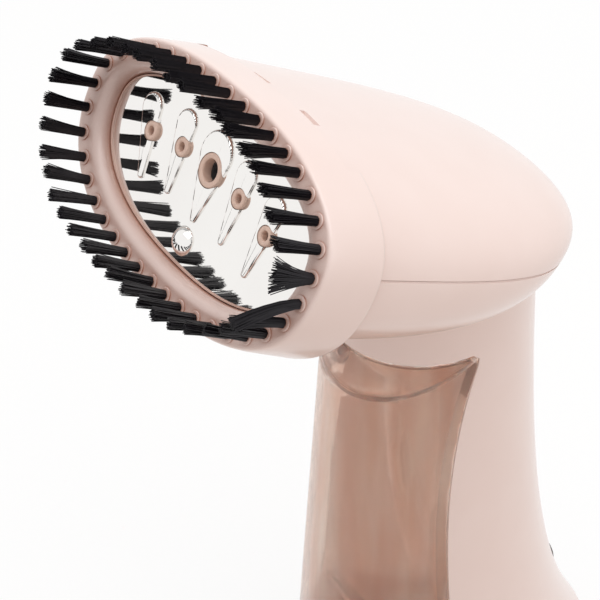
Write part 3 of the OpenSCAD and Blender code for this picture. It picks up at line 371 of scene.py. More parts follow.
# small mouldings in nylon, acetal and acrylic: duller, but for the polished lens
whiteNylon = mouldedPlastic("naturalNylonMoulded", "#E6E2D8", "#DBD6CA", 0.45, 0.5)
blackNylon = mouldedPlastic("blackNylonMoulded", "#1A1A1B", "#111112", 0.5, 0.5)
brownAcetal = mouldedPlastic("brownAcetalMoulded", "#7A5443", "#694636", 0.4, 0.5)
blueSleeve = mouldedPlastic("componentSleeve", "#5B7FA6", "#4C6E93", 0.35, 0.5)
lensAcrylic = mouldedPlastic("diffusingAcrylic", "#F2EEE6", "#E8E3DA", 0.15, 0.6, coat=0.5)
# moulded rubber, and moulded and extruded silicone: dull, with a coarser grain
greyRubber = mouldedPlastic("greyRubberMoulded", "#6A6766", "#5C5958", 0.7, 0.6, bump=0.1)
blackRubber = mouldedPlastic("blackRubberMoulded", "#1D1C1C", "#141313", 0.65, 0.6, bump=0.1)
roseRubber = mouldedPlastic("roseSiliconeMoulded", "#C99787", "#BC8878", 0.55, 0.5)
redSilicone = mouldedPlastic("redSiliconeMoulded", "#A2453A", "#8F3A30", 0.55, 0.6)
clearSilicone = mouldedPlastic("siliconeExtruded", "#DCD8D2", "#CFCBC4", 0.4, 0.8)
# glass-epoxy laminate, a taped winding and glazed ceramic: flat green, rough brown, and a hard cream shine
epoxyBoard = mouldedPlastic("epoxyLaminateBoard", "#2C6B41", "#235634", 0.4, 0.3)
coilTape = mouldedPlastic("coilTapeWound", "#9A6A3E", "#7F5430", 0.5, 0.7, bump=0.1)
glazedCeramic = mouldedPlastic("ceramicGlazed", "#E9E4D6", "#DDD7C8", 0.2, 1.5, coat=0.5)
# cast, rolled, plated, drawn and stamped metal: the rougher the working, the broader the highlight
castAluminium = workedMetal("aluminiumDieCast", "#B4B5B8", "#9C9DA0", 0.5, 0.7, bump=0.15)
rolledAluminium = workedMetal("aluminiumRolled", "#C4C5C7", "#B2B3B6", 0.32, 0.5, stretch=(1, 0.05, 1))
zincSteel = workedMetal("steelZincPlated", "#B9BCC2", "#A3A6AD", 0.35, 0.5)
springSteel = workedMetal("springWireDrawn", "#A9AAAD", "#8E8F93", 0.3, 0.4)
tintedSteel = workedMetal("elementTubeDrawn", "#8F8A84", "#6F6A66", 0.4, 0.5)
stampedBrass = workedMetal("brassStamped", "#C9A45C", "#B08A45", 0.35, 0.4)

# a mirror polish: a faint haze in the gloss, and the long waves that pressing leaves in thin sheet
plateSteel = {"light": "#F6F4F1", "dark": "#EFECE9", "roughness": 0.03, "haze": 16.67, "wave": 22.22}
mirrorSteel, tree, place = newMaterial("stainlessMirrorPolished")
haze = addNode(tree, "ShaderNodeTexNoise", values={"Scale": 1000 / plateSteel["haze"], "Detail": 3.0},
               links={"Vector": place})
tone = addNode(tree, "ShaderNodeMix", {"data_type": "RGBA"},
               values={6: linear(plateSteel["dark"]), 7: linear(plateSteel["light"])},
               links={0: haze.outputs["Fac"]})
shine = addNode(tree, "ShaderNodeMapRange", links={"Value": haze.outputs["Fac"]},
                values={"To Min": plateSteel["roughness"] * 0.6, "To Max": plateSteel["roughness"] * 1.8})
ripple = addNode(tree, "ShaderNodeTexNoise", values={"Scale": 1000 / plateSteel["wave"], "Detail": 1.0},
                 links={"Vector": place})
wave = addNode(tree, "ShaderNodeBump", values={"Strength": 0.03, "Distance": 0.0004},
               links={"Height": ripple.outputs["Fac"]})
shader = addNode(tree, "ShaderNodeBsdfPrincipled", values={"Metallic": 1.0},
                 links={"Base Color": tone.outputs[2], "Roughness": shine.outputs["Result"],
                        "Normal": wave.outputs["Normal"]})
finishMaterial(tree, shader.outputs["BSDF"])

# drawn nylon: black with a violet cast, and a sheen that changes from strand to strand
tuftNylon = {"light": "#1D1920", "dark": "#0D0A0E", "gloss": (0.4, 0.6), "strand": 1.111}
filament, tree, place = newMaterial("nylonFilamentExtruded")
strand = addNode(tree, "ShaderNodeTexNoise", values={"Scale": 1000 / tuftNylon["strand"], "Detail": 1.0},
                 links={"Vector": place})
tone = addNode(tree, "ShaderNodeMix", {"data_type": "RGBA"},
               values={6: linear(tuftNylon["dark"]), 7: linear(tuftNylon["light"])},
               links={0: strand.outputs["Fac"]})
gloss = addNode(tree, "ShaderNodeMapRange", links={"Value": strand.outputs["Fac"]},
                values={"To Min": tuftNylon["gloss"][0], "To Max": tuftNylon["gloss"][1]})
ridge = addNode(tree, "ShaderNodeBump", values={"Strength": 0.1, "Distance": 0.0001},
                links={"Height": strand.outputs["Fac"]})
shader = addNode(tree, "ShaderNodeBsdfPrincipled", values={"IOR": 1.4},
                 links={"Base Color": tone.outputs[2], "Roughness": gloss.outputs["Result"],
                        "Normal": ridge.outputs["Normal"]})
finishMaterial(tree, shader.outputs["BSDF"])

# clear moulded sheet with a brown tint: flow lines run up it, and it darkens where it is seen edge-on
smokyTint = {"clear": "#FFF9F3", "streak": "#F8E2D5", "edge": "#F2D8CB", "solid": 0.72, "flow": 7.692}
smokyPc, tree, place = newMaterial("polycarbonateSmokyMoulded")
stretched = addNode(tree, "ShaderNodeMapping", values={"Scale": (1.0, 1.0, 0.1)}, links={"Vector": place})
streak = addNode(tree, "ShaderNodeTexNoise", values={"Scale": 1000 / smokyTint["flow"], "Detail": 2.0},
                 links={"Vector": stretched.outputs["Vector"]})
band = addNode(tree, "ShaderNodeMapRange", values={"From Min": 0.35, "From Max": 0.68},
               links={"Value": streak.outputs["Fac"]})
tone = addNode(tree, "ShaderNodeMix", {"data_type": "RGBA"},
               values={6: linear(smokyTint["clear"]), 7: linear(smokyTint["streak"])},
               links={0: band.outputs["Result"]})
flow = addNode(tree, "ShaderNodeBump", values={"Strength": 0.12, "Distance": 0.0006},
               links={"Height": streak.outputs["Fac"]})
rim = addNode(tree, "ShaderNodeLayerWeight", values={"Blend": 0.15}, links={"Normal": flow.outputs["Normal"]})
deep = addNode(tree, "ShaderNodeMix", {"data_type": "RGBA"}, values={7: linear(smokyTint["edge"])},
               links={0: rim.outputs["Facing"], 6: tone.outputs[2]})
through = addNode(tree, "ShaderNodeBsdfTransparent", links={"Color": deep.outputs[2]})
gloss = addNode(tree, "ShaderNodeMapRange", values={"To Min": 0.01, "To Max": 0.04},
                links={"Value": streak.outputs["Fac"]})
shader = addNode(tree, "ShaderNodeBsdfPrincipled", values={"IOR": 1.5, "Transmission Weight": 1.0},
                 links={"Base Color": tone.outputs[2], "Roughness": gloss.outputs["Result"],
                        "Normal": flow.outputs["Normal"]})
mixed = addNode(tree, "ShaderNodeMixShader", values={0: smokyTint["solid"]},
                links={1: through.outputs[0], 2: shader.outputs["BSDF"]})
finishMaterial(tree, mixed.outputs[0])


def dress(piece, material, smooth=35):
    piece.data.materials.clear()
    piece.data.materials.append(material)
    if smooth:
        smoothed(piece, smooth)
    return piece


# the head narrows towards its rounded end by (1 - share ** a) ** b, with a and b for width, top and bottom
head = {"halfWidth": 52.4, "top": 24.6, "bottom": 25.4, "front": 16.4, "notchFront": 12.4, "length": 108.7,
        "rise": 16.4, "squareness": 2.36, "rounder": 0.3, "wall": 2.4, "sides": 96, "rings": 40,
        "narrowing": ((3.05, 0.415), (2.04, 0.562), (9, 0.562)), "lastRing": 89.4,
        "seamUp": 4.0, "seamClimb": 3.7, "seamGap": 0.08, "seamChamfer": 0.3, "notchHalf": 33.6}


def headRing(backwards, inset, count):
    share = max(0.0, min(1.0, (backwards - head["front"]) / (head["length"] - inset - head["front"])))
    wide, high, deep = [(1 - share ** a) ** b for a, b in head["narrowing"]]
    ring = oval((head["halfWidth"] - inset) * wide, (head["top"] - inset) * high,
                (head["bottom"] - inset) * deep, head["squareness"] - head["rounder"] * share, count)
    return [inHead(x, y + head["rise"] * share ** 2, backwards) for x, y in ring]


def headSolid(name, inset, start, count, rings):
    span = head["length"] - inset - head["front"]
    turns = [math.radians(head["lastRing"] * i / rings) for i in range(rings + 1)]
    places = [head["front"] + span * math.sin(turn) for turn in turns]
    return loft(name, [headRing(start, inset, count)] + [headRing(p, inset, count) for p in places])


column = {"neckHalf": 27.1, "neckFront": 27.7, "neckBack": 33.0, "baseHalf": 46.0, "baseFront": 39.2,
          "baseBack": 58.5, "squareness": 2.06, "bottom": 1.2, "top": 178.0, "wall": 2.4,
          "sides": 96, "rings": 36,
          "sideFlare": 1.6, "frontFlare": 1.6, "backFlare": 3.4, "taper": (0.06, 0.1, 0.02)}


def flare(z):
    return max(0.0, min(1.0, (stance["seamZ"] - z) / stance["seamZ"]))


def columnSides(z):
    # half width, front and rear at a height: flared below the neck, and tapered where it goes into the head
    share = flare(z)
    taper = [t * max(0.0, z - stance["seamZ"]) for t in column["taper"]]
    half = (column["baseHalf"] - column["neckHalf"]) * share ** column["sideFlare"]
    front = (column["baseFront"] - column["neckFront"]) * (1 - (1 - share) ** column["frontFlare"])
    rear = (column["baseBack"] - column["neckBack"]) * share ** column["backFlare"]
    return (column["neckHalf"] + half - taper[0], column["neckFront"] + front - taper[1],
            column["neckBack"] + rear - taper[2])


def columnRing(z, inset, count):
    half, front, rear = columnSides(z)
    ring = oval(half - inset, rear - inset, front - inset, column["squareness"], count)
    return [inRoom(x, y + stance["columnY"], z) for x, y in ring]


def columnSolid(name, inset, low, high, count, rings):
    return loft(name, [columnRing(low + (high - low) * i / rings, inset, count) for i in range(rings + 1)])


def seamCutter(name, lift, above):
    # everything above or below the sloping seam along the head's side
    far = 110.0 if above else -110.0
    climb = math.tan(math.radians(head["seamClimb"]))
    line = [(s, head["seamUp"] + (s - head["front"]) * climb + lift) for s in (-20.0, 150.0)]
    side = line + [(150.0, far), (-20.0, far)]
    return loft(name, [[inHead(x, v, s) for s, v in side] for x in cutterSpan])


def seamGroove(name):
    # the chamfers of both mouldings along the side seam: a band, less the head drawn in by their depth
    band = seamCutter(name, -head["seamChamfer"], True)
    cutBy(band, seamCutter("bandTop", head["seamChamfer"], True),
          headSolid("grooveFloor", head["seamChamfer"], head["front"] - 5, head["sides"], head["rings"]))
    return band


tank = {"floor": 16.0, "wall": 2.0, "gap": 0.4, "edgeTop": 0.2, "edgeRun": 14.6, "rings": 30,
        "edgeCurve": 4, "lidDrop": 2.4, "lidSlope": 26.6, "corner": 3.0}


def tankEdge(z):
    # the tank's rear face, measured from the column's axis
    corner = max(0.0, min(1.0, 1 - (stance["seamZ"] - z) / tank["corner"]))
    return -tank["edgeTop"] - tank["edgeRun"] * (1 - (1 - flare(z)) ** tank["edgeCurve"]) \
        - tank["corner"] * (1 - math.sqrt(1 - corner ** 2))


def tankCutter(name, gap):
    steps = 20
    low, high = tank["floor"] - gap, stance["seamZ"] + gap
    profile = []
    for i in range(steps):
        z = low + (high - low) * math.sin(math.pi / 2 * i / (steps - 1))
        profile.append((stance["columnY"] + tankEdge(z) + gap, z))
    profile += [(-120.0, high), (-120.0, 80.0), (-120.0, 40.0), (-120.0, low)]
    return loft(name, [[inRoom(x, y, z) for y, z in profile] for x in cutterSpan])


# the lower half of the head and the column are one moulding, split down the middle
body = headSolid("body", 0.0, head["front"], head["sides"], head["rings"])
cutBy(body, columnSolid("columnOutside", 0.0, column["bottom"], column["top"], column["sides"],
                        column["rings"]), operation="UNION")
applied(body, "REMESH", mode="VOXEL", voxel_size=1.0 * mm)
applied(body, "SMOOTH", factor=0.5, iterations=10)
cutBy(body, seamCutter("aboveSeam", -head["seamGap"] / 2, True),
      headSolid("headInside", head["wall"], head["front"] - 2, *innerFacets), seamGroove("lowerGroove"))
columnInside = columnSolid("columnInside", column["wall"], column["bottom"] - 1, column["top"] + 2,
                           *innerFacets)
cutBy(columnInside, tankCutter("tankWall", tank["gap"] + column["wall"]))
cutBy(body, columnInside, tankCutter("tankRecess", tank["gap"]))
panel = {"width": 24.0, "length": 44.0, "z": 118.0}
glandHole = {"z": 20.0, "radius": 5.5, "from": 30, "to": 60}
outletHole = {"z": 26.0, "radius": 8.0, "from": -30, "to": -14}
slot = block("panelSlot", (-panel["width"] / 2, 0, panel["z"] - panel["length"] / 2),
             (panel["width"] / 2, 60, panel["z"] + panel["length"] / 2))
for end in (-1, 1):
    z = panel["z"] + end * panel["length"] / 2
    cutBy(slot, rod("slotEnd", inRoom(0, 0, z), inRoom(0, 60, z), panel["width"] / 2, 48), operation="UNION")
cutBy(body, slot, *[rod("hole", inRoom(0, hole["from"], hole["z"]), inRoom(0, hole["to"], hole["z"]),
                        hole["radius"]) for hole in (glandHole, outletHole)])
print("stage: body", len(body.data.polygons))
screwBoss = {"places": [(36.86, 12.0), (-31.0, 9.0), (30.0, 70.0), (-18.0, 160.0), (24.0, 166.0)],
             "radius": 3.5, "inside": 0.8, "hole": 1.46, "depth": {1: 11, -1: 8.1},
             "head": 3.2, "headDepth": 8, "foot": [(28.13, -31.6), (28.7, 20.2)], "footLow": 4.9,
             "footHigh": 13.9, "rib": (5.6, 1.2)}


def columnHalf(z, y):
    half, front, rear = columnSides(z)
    return half * math.sqrt(max(0.0, 1 - (y / (rear if y > 0 else front)) ** 2))


for side, name, node in ((1, "bodyShellRight", "body_shell_right"), (-1, "bodyShellLeft", "body_shell_left")):
    shell = ownCopy(body, name)
    across = sorted([side * -130, side * 0.04])
    cutBy(shell, block("otherSide", (across[0], -200, -10), (across[1], 200, 300)))
    bosses, holes = [], []
    for y, z in screwBoss["places"]:
        edges = (-screwBoss["radius"], screwBoss["radius"])
        reach = min(columnHalf(z + b, y + a) for a in edges for b in edges) - screwBoss["inside"]
        middle = y + stance["columnY"]
        bosses.append(rod("boss", inRoom(side * 0.05, middle, z), inRoom(side * reach, middle, z),
                          screwBoss["radius"], 24))
        holes.append(rod("screwHole", inRoom(-side, middle, z),
                         inRoom(side * screwBoss["depth"][side], middle, z), screwBoss["hole"], 20))
        if side < 0:
            holes.append(rod("headHole", inRoom(-screwBoss["headDepth"], middle, z),
                             inRoom(-screwBoss["headDepth"] - 60, middle, z), screwBoss["head"], 28))
    for x, y in screwBoss["foot"]:
        low, high = screwBoss["footLow"], screwBoss["footHigh"]
        length, half = screwBoss["rib"]
        ends = sorted([side * x, side * (x + length)])
        bosses.append(rod("foot", inRoom(side * x, y, low), inRoom(side * x, y, high),
                          screwBoss["radius"], 24))
        bosses.append(block("rib", (ends[0], y - half, low), (ends[1], y + half, high)))
        holes.append(rod("footHole", inRoom(side * x, y, 0), inRoom(side * x, y, high - 1),
                         screwBoss["hole"], 20))
    for boss in bosses:
        cutBy(shell, boss, operation="UNION")
    for hole in holes:
        cutBy(shell, hole)
    dress(shell, blushAbs, 40)
    standsFor(shell, "housing", "blush_abs", node)
bpy.data.objects.remove(body)
print("stage: body shells")

upperCover = headSolid("upperCover", 0.0, head["notchFront"], head["sides"], head["rings"])
cutBy(upperCover, seamCutter("belowSeam", head["seamGap"] / 2, False),
      headSolid("coverInside", head["wall"], head["notchFront"] - 2, *innerFacets), seamGroove("upperGroove"))
for side in (-1, 1):
    inner, outer = side * head["notchHalf"], side * 80
    corner = [(inner, -40), (outer, -40), (outer, 60), (inner, 60)]
    cutBy(upperCover, loft("besideNotch", [[inHead(x, v, s) for x, v in corner]
                                           for s in (-5, head["front"])]))
# a finger notch on each side of the middle, just behind the collar
clip = {"low": 7.4, "high": 14.4, "depth": 4.0, "length": 6.0, "lean": 16.0, "down": 1.8}
leanCos, leanSin = math.cos(math.radians(clip["lean"])), math.sin(math.radians(clip["lean"]))
outline = [(clip["low"], 0), (clip["high"], 0), (clip["high"], clip["depth"]), (clip["low"], clip["depth"])]
for side in (-1, 1):
    cutBy(upperCover, loft("clipPocket", [
        [inHead(side * x, head["top"] - clip["down"] + y * leanCos + along * leanSin,
                head["front"] + y * leanSin - along * leanCos) for x, y in outline]
        for along in (0.0, clip["length"])]))
dress(upperCover, blushAbs, 40)
standsFor(upperCover, "housing", "blush_abs", "upper_head_cover")
print("stage: upper cover")

# brush collar: one closed profile carried round the oval, as distance outside the tufts and depth behind
# their roots. It starts with the roll from the opening up to the face, and then runs out, back and in again.
collar = {"halfWidth": 50.0, "top": 22.3, "bottom": 28.4, "squareness": 2.36, "trim": 1.0, "skirt": 4.8,
          "sides": 160, "notchHalf": 34.0, "notchDepth": 4.0, "length": 16.0,
          "rollWide": 3.5, "rollDeep": 3.8, "inner": -5.6,
          "profile": [(-1.5, 0.0), (2.0, 0.0), (2.45, 0.03), (2.9, 0.16), (3.25, 0.42), (3.48, 0.8),
                      (3.62, 1.3), (3.9, 3.0), (4.35, 9.0), (4.73, 15.0), (4.72, 15.4), (4.58, 15.75),
                      (4.25, 16.0), (2.6, 16.0), (2.4, 15.8), (2.4, 10.0), (2.4, 5.2), (2.2, 5.0),
                      (-5.6, 5.0)]}


def collarRing(outwards, backwards):
    trim = collar["trim"] * max(0.0, min(1.0, outwards / collar["skirt"]))
    ring = oval(collar["halfWidth"] + outwards, collar["top"] + outwards - trim,
                collar["bottom"] + outwards - trim, collar["squareness"], collar["sides"])
    return [inHead(x, y, backwards) for x, y in ring]


roll = [(collar["inner"] + collar["rollWide"] * (1 - math.sin(math.radians(a))),
         collar["rollDeep"] * (1 - math.cos(math.radians(a)))) for a in range(90, -1, -10)]
brushCollar = loft("brushCollar", [collarRing(d, s) for d, s in roll + collar["profile"]], closed=True)
notch = [(side * collar["notchHalf"], up) for side, up in ((-1, 10), (1, 10), (1, 60), (-1, 60))]
cutBy(brushCollar, loft("notch", [[inHead(x, v, s) for x, v in notch]
                                  for s in (collar["length"] - collar["notchDepth"], 30)]))

# the tufts stand at equal steps along the oval, and each leans in a little. The unruly ones have their own
# spread along the ring and inwards, bend along it and inwards, and length as a share.
tufts = {"count": 38, "phase": 0.428, "lean": 2.7, "length": 14.4, "radius": 1.3, "sunk": 0.8,
         "filaments": 84, "steps": 5, "thickness": 0.17, "thinner": 0.25, "curl": (1.3, 2.2),
         "scatter": (0.22, 0.2, 0.022), "slant": 1.2, "bossRadius": 2.0, "bossHeight": 0.4,
         "unruly": {5: (1.7, 1.2, 0.5, 0.0, 0.98), 12: (1.9, 1.5, -1.4, 0.2, 1.0),
                    20: (1.3, 1.3, -3.0, 0.2, 1.0), 21: (1.25, 1.5, -8.6, 0.6, 1.04),
                    22: (4.0, 1.0, -0.8, 0.3, 0.84), 27: (1.9, 1.3, -0.6, 0.0, 0.98)}}


def tuftFrames():
    # root, inward and sideways directions of every tuft, in the face's own x, up
    steps = 180
    around = (collar["halfWidth"], collar["top"], collar["bottom"], collar["squareness"])
    points = [ovalPoint(2 * math.pi * i / steps, *around) for i in range(steps + 1)]
    lengths = np.concatenate([[0], np.cumsum([math.dist(a, b) for a, b in zip(points, points[1:])])])
    frames = []
    for i in range(tufts["count"]):
        share = (i / tufts["count"] + tufts["phase"]) % 1
        turn = np.interp(share * lengths[-1], lengths, [2 * math.pi * k / steps for k in range(steps + 1)])
        x, y = ovalPoint(turn, *around)
        ahead, behind = ovalPoint(turn + 0.035, *around), ovalPoint(turn - 0.035, *around)
        along = Vector((ahead[0] - behind[0], ahead[1] - behind[1])).normalized()
        frames.append(((x, y), (-along.y, along.x), (along.x, along.y)))
    return frames


bpy.ops.object.select_all(action="DESELECT")
bpy.ops.mesh.primitive_cylinder_add(vertices=24, radius=tufts["bossRadius"] * mm,
                                    depth=2 * tufts["bossHeight"] * mm)
boss = bpy.context.object
applied(boss, "BEVEL", width=0.25 * mm, segments=2, limit_method="ANGLE", angle_limit=math.radians(60))
bosses = []
upright = (inHead(0, 0, -1) - inHead(0, 0, 0)).normalized().to_track_quat("Z", "Y").to_matrix().to_4x4()
for (x, y), inward, along in tuftFrames():
    bosses.append(ownCopy(boss, "tuftBoss"))
    bosses[-1].data.transform(Matrix.Translation(inHead(x, y, 0)) @ upright)
bpy.data.objects.remove(boss)
brushCollar = joined(*bosses, brushCollar)
dress(brushCollar, collarAbsPaintedShade, 40)
standsFor(brushCollar, "brush", "blush_abs", "brush_collar")
print("stage: brush collar")

# one filament is modelled and repeated, and then each copy gets its own path
filaments = tufts["count"] * tufts["filaments"]
corners = [(math.cos(2 * math.pi * k / 3), math.sin(2 * math.pi * k / 3)) for k in range(3)]
bristles = loft("bristleTufts", [[Vector((x, y, level)) for x, y in corners]
                                 for level in range(tufts["steps"] + 1)])
applied(bristles, "ARRAY", count=filaments, use_relative_offset=False, use_constant_offset=True,
        constant_offset_displace=(0, 0, 0))
count = len(bristles.data.vertices)
flat = np.empty(count * 3)
bristles.data.vertices.foreach_get("co", flat)
flat = flat.reshape(filaments, count // filaments, 3)
goldenTurn = 2.39996  # fills a circle evenly
alongScatter, inScatter, lengthScatter = tufts["scatter"]
random.seed(7)
for i, ((x, y), inward, along) in enumerate(tuftFrames()):
    spreadAlong, spreadIn, bendAlong, bendIn, size = tufts["unruly"].get(i, (
        random.uniform(1.3, 1.75), random.uniform(1.1, 1.45), random.uniform(-0.6, 0.6),
        random.uniform(-0.4, 0.4), random.uniform(0.97, 1.02)))
    slant = random.uniform(1.4, 2.3) if x > 0 else random.uniform(0.0, 0.6)
    for j in range(tufts["filaments"]):
        reach = math.sqrt((j + 0.5) / tufts["filaments"]) * (tufts["radius"] - tufts["thickness"])
        turn = j * goldenTurn + i
        a, b = reach * math.cos(turn), reach * math.sin(turn)
        tipA = a * spreadAlong + bendAlong + random.gauss(0, alongScatter)
        tipB = b * spreadIn + bendIn + random.gauss(0, inScatter)
        length = tufts["length"] * size * (1 - abs(random.gauss(0, lengthScatter))) - tufts["thickness"]
        length -= slant * (0.5 - a / (2 * tufts["radius"])) * tufts["slant"]
        curl = random.uniform(*tufts["curl"])
        for k in range(count // filaments):
            px, py, level = flat[i * tufts["filaments"] + j, k]
            t = level / tufts["steps"]
            out = -tufts["sunk"] + (length + tufts["sunk"]) * t
            bow = t ** curl
            thin = tufts["thickness"] * (1 - tufts["thinner"] * t)
            sideways = a + (tipA - a) * bow + px * thin
            inside = b + (tipB - b) * bow + py * thin + out * math.sin(math.radians(tufts["lean"]))
            flat[i * tufts["filaments"] + j, k] = inHead(x + along[0] * sideways + inward[0] * inside,
                                                         y + along[1] * sideways + inward[1] * inside, -out)
bristles.data.vertices.foreach_set("co", flat.ravel())
bristles.data.update()
facesOut(bristles)
dress(bristles, filament, 60)
standsFor(bristles, "brush", "black_nylon", "bristle_tufts")
print("stage: bristles", len(bristles.data.polygons))

# the steam plate is pressed sheet: teardrop pads stand out of it, and a dome below them. Each pad has its
# nozzle's x and height, its own shift and lift from there, its turn, its length and its width.
plate = {"edge": -6.35, "lip": -6.3, "lipFront": 4.0, "front": 4.4, "back": 5.4, "edgeBreak": 0.05,
         "padHeight": 1.0, "padRound": 1.0, "padSunk": 0.08, "point": 0.9,
         "centreHole": 4.45, "sideHole": 2.6,
         "pads": [(-26.6, -0.3, -2.1, 5.2, 20.0, 22.0, 7.6), (-13.2, 2.1, -1.4, 5.4, 10.0, 22.0, 7.6),
                  (0.0, 2.6, -0.6, 4.0, 5.0, 24.0, 12.0), (13.2, 2.1, -0.9, 5.5, 3.0, 22.0, 7.6),
                  (26.6, -0.3, -1.3, 6.0, -2.5, 22.0, 7.6)],
         "dome": {"up": -16.7, "radius": 3.8, "height": 2.4,
                  "levels": (-0.3, -0.1, 0.3, 0.7, 1.1, 1.5, 1.8, 2.05, 2.25, 2.36)}}


def teardrop(width, length, grow, count=64):
    # two circles with a band round both
    radii = (width / 2 + grow, plate["point"] + grow)
    centres = (0.0, width / 2 + plate["point"] - length)
    points = []
    for i in range(count):
        turn = 2 * math.pi * i / count
        k = 0 if radii[0] >= centres[1] * math.sin(turn) + radii[1] else 1
        points.append((radii[k] * math.cos(turn), centres[k] + radii[k] * math.sin(turn)))
    return points


def faceRing(outwards, backwards, count=96):
    outline = oval(collar["halfWidth"] + outwards, collar["top"] + outwards, collar["bottom"] + outwards,
                   collar["squareness"], count)
    return [inHead(x, y, backwards) for x, y in outline]


steamPlate = loft("steamPlate", [faceRing(plate["edge"], plate["back"]),
                                 faceRing(plate["edge"], plate["front"] + plate["edgeBreak"]),
                                 faceRing(plate["edge"] - plate["edgeBreak"], plate["front"])])
padEdge = [(-plate["padRound"] * (1 - math.cos(math.radians(a))),
            (plate["padHeight"] + plate["padSunk"]) * math.sin(math.radians(a)) - plate["padSunk"])
           for a in range(0, 91, 15)]
for x, y, shift, lift, turn, length, width in plate["pads"]:
    lean = math.radians(turn)
    rings = []
    for grow, height in [(0.05, -0.4)] + padEdge:
        rings.append([inHead(x + shift + px * math.cos(lean) - (py + lift) * math.sin(lean),
                             y + px * math.sin(lean) + (py + lift) * math.cos(lean), plate["front"] - height)
                      for px, py in teardrop(width, length, grow)])
    cutBy(steamPlate, loft("pad", rings), operation="UNION")
dome = plate["dome"]
sphere = (dome["radius"] ** 2 + dome["height"] ** 2) / (2 * dome["height"])
rings = []
for h in dome["levels"]:
    wide = math.sqrt(sphere ** 2 - (max(h, 0) + sphere - dome["height"]) ** 2)
    rings.append([inHead(x, dome["up"] + y, plate["front"] - h) for x, y in oval(wide, wide, wide, 2, 48)])
cutBy(steamPlate, loft("dome", rings), operation="UNION")
for x, y, *others in sorted(plate["pads"], key=lambda pad: abs(pad[0])):
    radius = plate["sideHole"] if x else plate["centreHole"]
    cutBy(steamPlate, rod("nozzleHole", inHead(x, y, plate["back"] + 1), inHead(x, y, 0), radius, 48))
dress(steamPlate, mirrorSteel, 28)
applied(steamPlate, "WEIGHTED_NORMAL", mode="FACE_AREA", weight=100, keep_sharp=True)
standsFor(steamPlate, "housing", "polished_steel", "steam_plate")
for node, name in (("centre_nozzle", "centreNozzle"), ("side_nozzles", "sideNozzles")):
    nozzle = dress(mouldedCopy(node, name, 0.45, 50), blushPps)
    standsFor(nozzle, "housing", "blush_pps", node)
bezel = mouldedCopy("front_bezel", "frontBezel", 0.4, 50)
cutBy(bezel, loft("lipBore", [faceRing(plate["lip"], s) for s in (-2.0, plate["back"] + 0.05)]),
      loft("lipFront", [faceRing(1.0, s) for s in (-2.0, plate["lipFront"])]))
dress(bezel, blushPbt)
standsFor(bezel, "housing", "blush_pbt", "front_bezel")
print("stage: steam plate, nozzles and bezel")


def tankForm(name, inset):
    # the column's outline in front of the tank's rear face
    form = columnSolid(name, inset, tank["floor"] + inset, stance["seamZ"] - inset, column["sides"],
                       tank["rings"])
    return cutBy(form, tankCutter("inFront", -inset), operation="INTERSECT")


def lidCutter(name, lift, above):
    far = 300.0 if above else -50.0
    slope = math.tan(math.radians(tank["lidSlope"]))
    middle = stance["columnY"] - tank["edgeTop"] - tank["corner"]
    line = [(y, stance["seamZ"] - tank["lidDrop"] + lift + (y - middle) * slope) for y in (-120.0, 80.0)]
    side = line + [(80.0, far), (-120.0, far)]
    return loft(name, [[inRoom(x, y, z) for y, z in side] for x in cutterSpan])


# radii, and how far each form reaches inwards and outwards from the filler's mouth
filler = {"x": -23.949, "y": -25.15, "z": 130.0, "turn": 28.991, "boss": (6.8, 5, -1), "bore": (4.8, 8, 12),
          "seat": (7.1, 1.4, 3.6), "tabLow": (-0.7, -2.8, -9.1), "tabHigh": (4.3, 2.8, 0)}
outlet = {"y": -24.437, "z": outletHole["z"], "radius": 5.05, "inwards": 2, "outwards": 4}
lidJoint = 0.05  # the weld between lid and body shows as a hairline
tankBody = cutBy(tankForm("tankBody", 0.0), tankForm("tankHollow", tank["wall"]))
tankLid = ownCopy(tankBody, "tankLid")
cutBy(tankBody, lidCutter("overJoint", -lidJoint / 2, True))
cutBy(tankLid, lidCutter("underJoint", lidJoint / 2, False))
mouth = inRoom(filler["x"], filler["y"], filler["z"])
fillerTurn = math.radians(180 + filler["turn"])
outwards = Vector((math.cos(fillerTurn), math.sin(fillerTurn), 0)) * mm
boss, bore, seat = [rod(name, mouth - outwards * filler[name][1], mouth + outwards * filler[name][2],
                        filler[name][0]) for name in ("boss", "bore", "seat")]
cutBy(tankBody, boss, operation="UNION")
cutBy(tankBody, bore, seat,
      rod("outletBore", inRoom(0, outlet["y"] - outlet["outwards"], outlet["z"]),
          inRoom(0, outlet["y"] + outlet["inwards"], outlet["z"]), outlet["radius"]))
tabPocket = block("tabPocket", filler["tabLow"], filler["tabHigh"])
tabPocket.data.transform(Matrix.Translation(mouth) @ Matrix.Rotation(fillerTurn, 4, "Z"))
cutBy(tankBody, tabPocket)
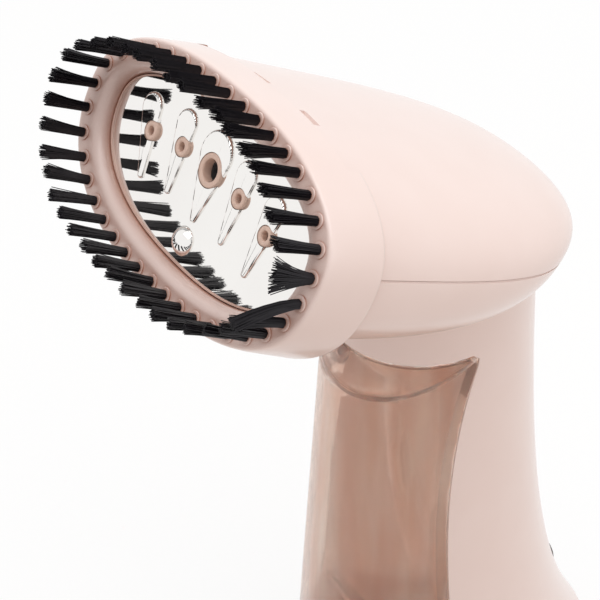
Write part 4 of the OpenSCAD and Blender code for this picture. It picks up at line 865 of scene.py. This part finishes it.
for piece, node in ((tankBody, "tank_body"), (tankLid, "tank_lid")):
    applied(piece, "BEVEL", width=0.3 * mm, segments=2, limit_method="ANGLE", angle_limit=math.radians(50))
    dress(piece, smokyPc, 40)
    standsFor(piece, "tank", "smoky_tank", node)
print("stage: water tank")

# small mouldings keep the shape that was drawn for them and get rounded edges
smallMouldings = [("filler_stopper", "fillerStopper", "stopper", "rose_rubber", roseRubber, 0.3),
                  ("tank_outlet", "tankOutlet", "tank", "brown_acetal", brownAcetal, 0.2),
                  ("control_panel", "controlPanel", "housing", "blush_pbt", blushPbt, 0.3),
                  ("steam_button", "steamButton", "button", "rose_abs", roseAbs, 0.4),
                  ("power_slider", "powerSlider", "slider", "rose_abs", roseAbs, 0.25),
                  ("indicator_lens", "indicatorLens", "housing", "clear_lens", lensAcrylic, 0.2),
                  ("base_plate", "basePlate", "housing", "grey_abs", greyAbs, 0.25),
                  ("base_pad", "basePad", "housing", "grey_rubber", greyRubber, 0.4),
                  ("cord_gland", "cordGland", "housing", "grey_rubber", greyRubber, 0.3),
                  ("tank_socket", "tankSocket", "housing", "white_nylon", whiteNylon, 0.2)]
for node, name, body, slot, material, bevel in smallMouldings:
    standsFor(dress(mouldedCopy(node, name, bevel), material), body, slot, node)
print("stage: small mouldings")

insidePieces = {"plate_gasket": redSilicone, "boiler_block": castAluminium, "boiler_cover": castAluminium,
                "heating_element": tintedSteel, "element_terminals": stampedBrass,
                "thermostat": blackNylon, "thermal_fuse": glazedCeramic, "heat_shield": rolledAluminium,
                "boiler_screws": zincSteel, "control_board": epoxyBoard, "microswitch": blackNylon,
                "board_parts": blueSleeve, "board_screws": zincSteel, "button_spring": springSteel,
                "switch_body": blackNylon, "pump_coil": coilTape, "pump_frame": zincSteel,
                "pump_tube": whiteNylon, "pump_mounts": blackRubber, "inlet_hose": clearSilicone,
                "outlet_hose": clearSilicone, "socket_seal": blackRubber, "valve_poppet": whiteNylon,
                "valve_spring": springSteel, "tank_filter": whiteNylon, "base_screws": zincSteel,
                "shell_screws": zincSteel, "terminal_block": whiteNylon}
for node, material in insidePieces.items():
    nodes[node].data.materials.clear()
    nodes[node].data.materials.append(material)
print("stage: inner pieces")
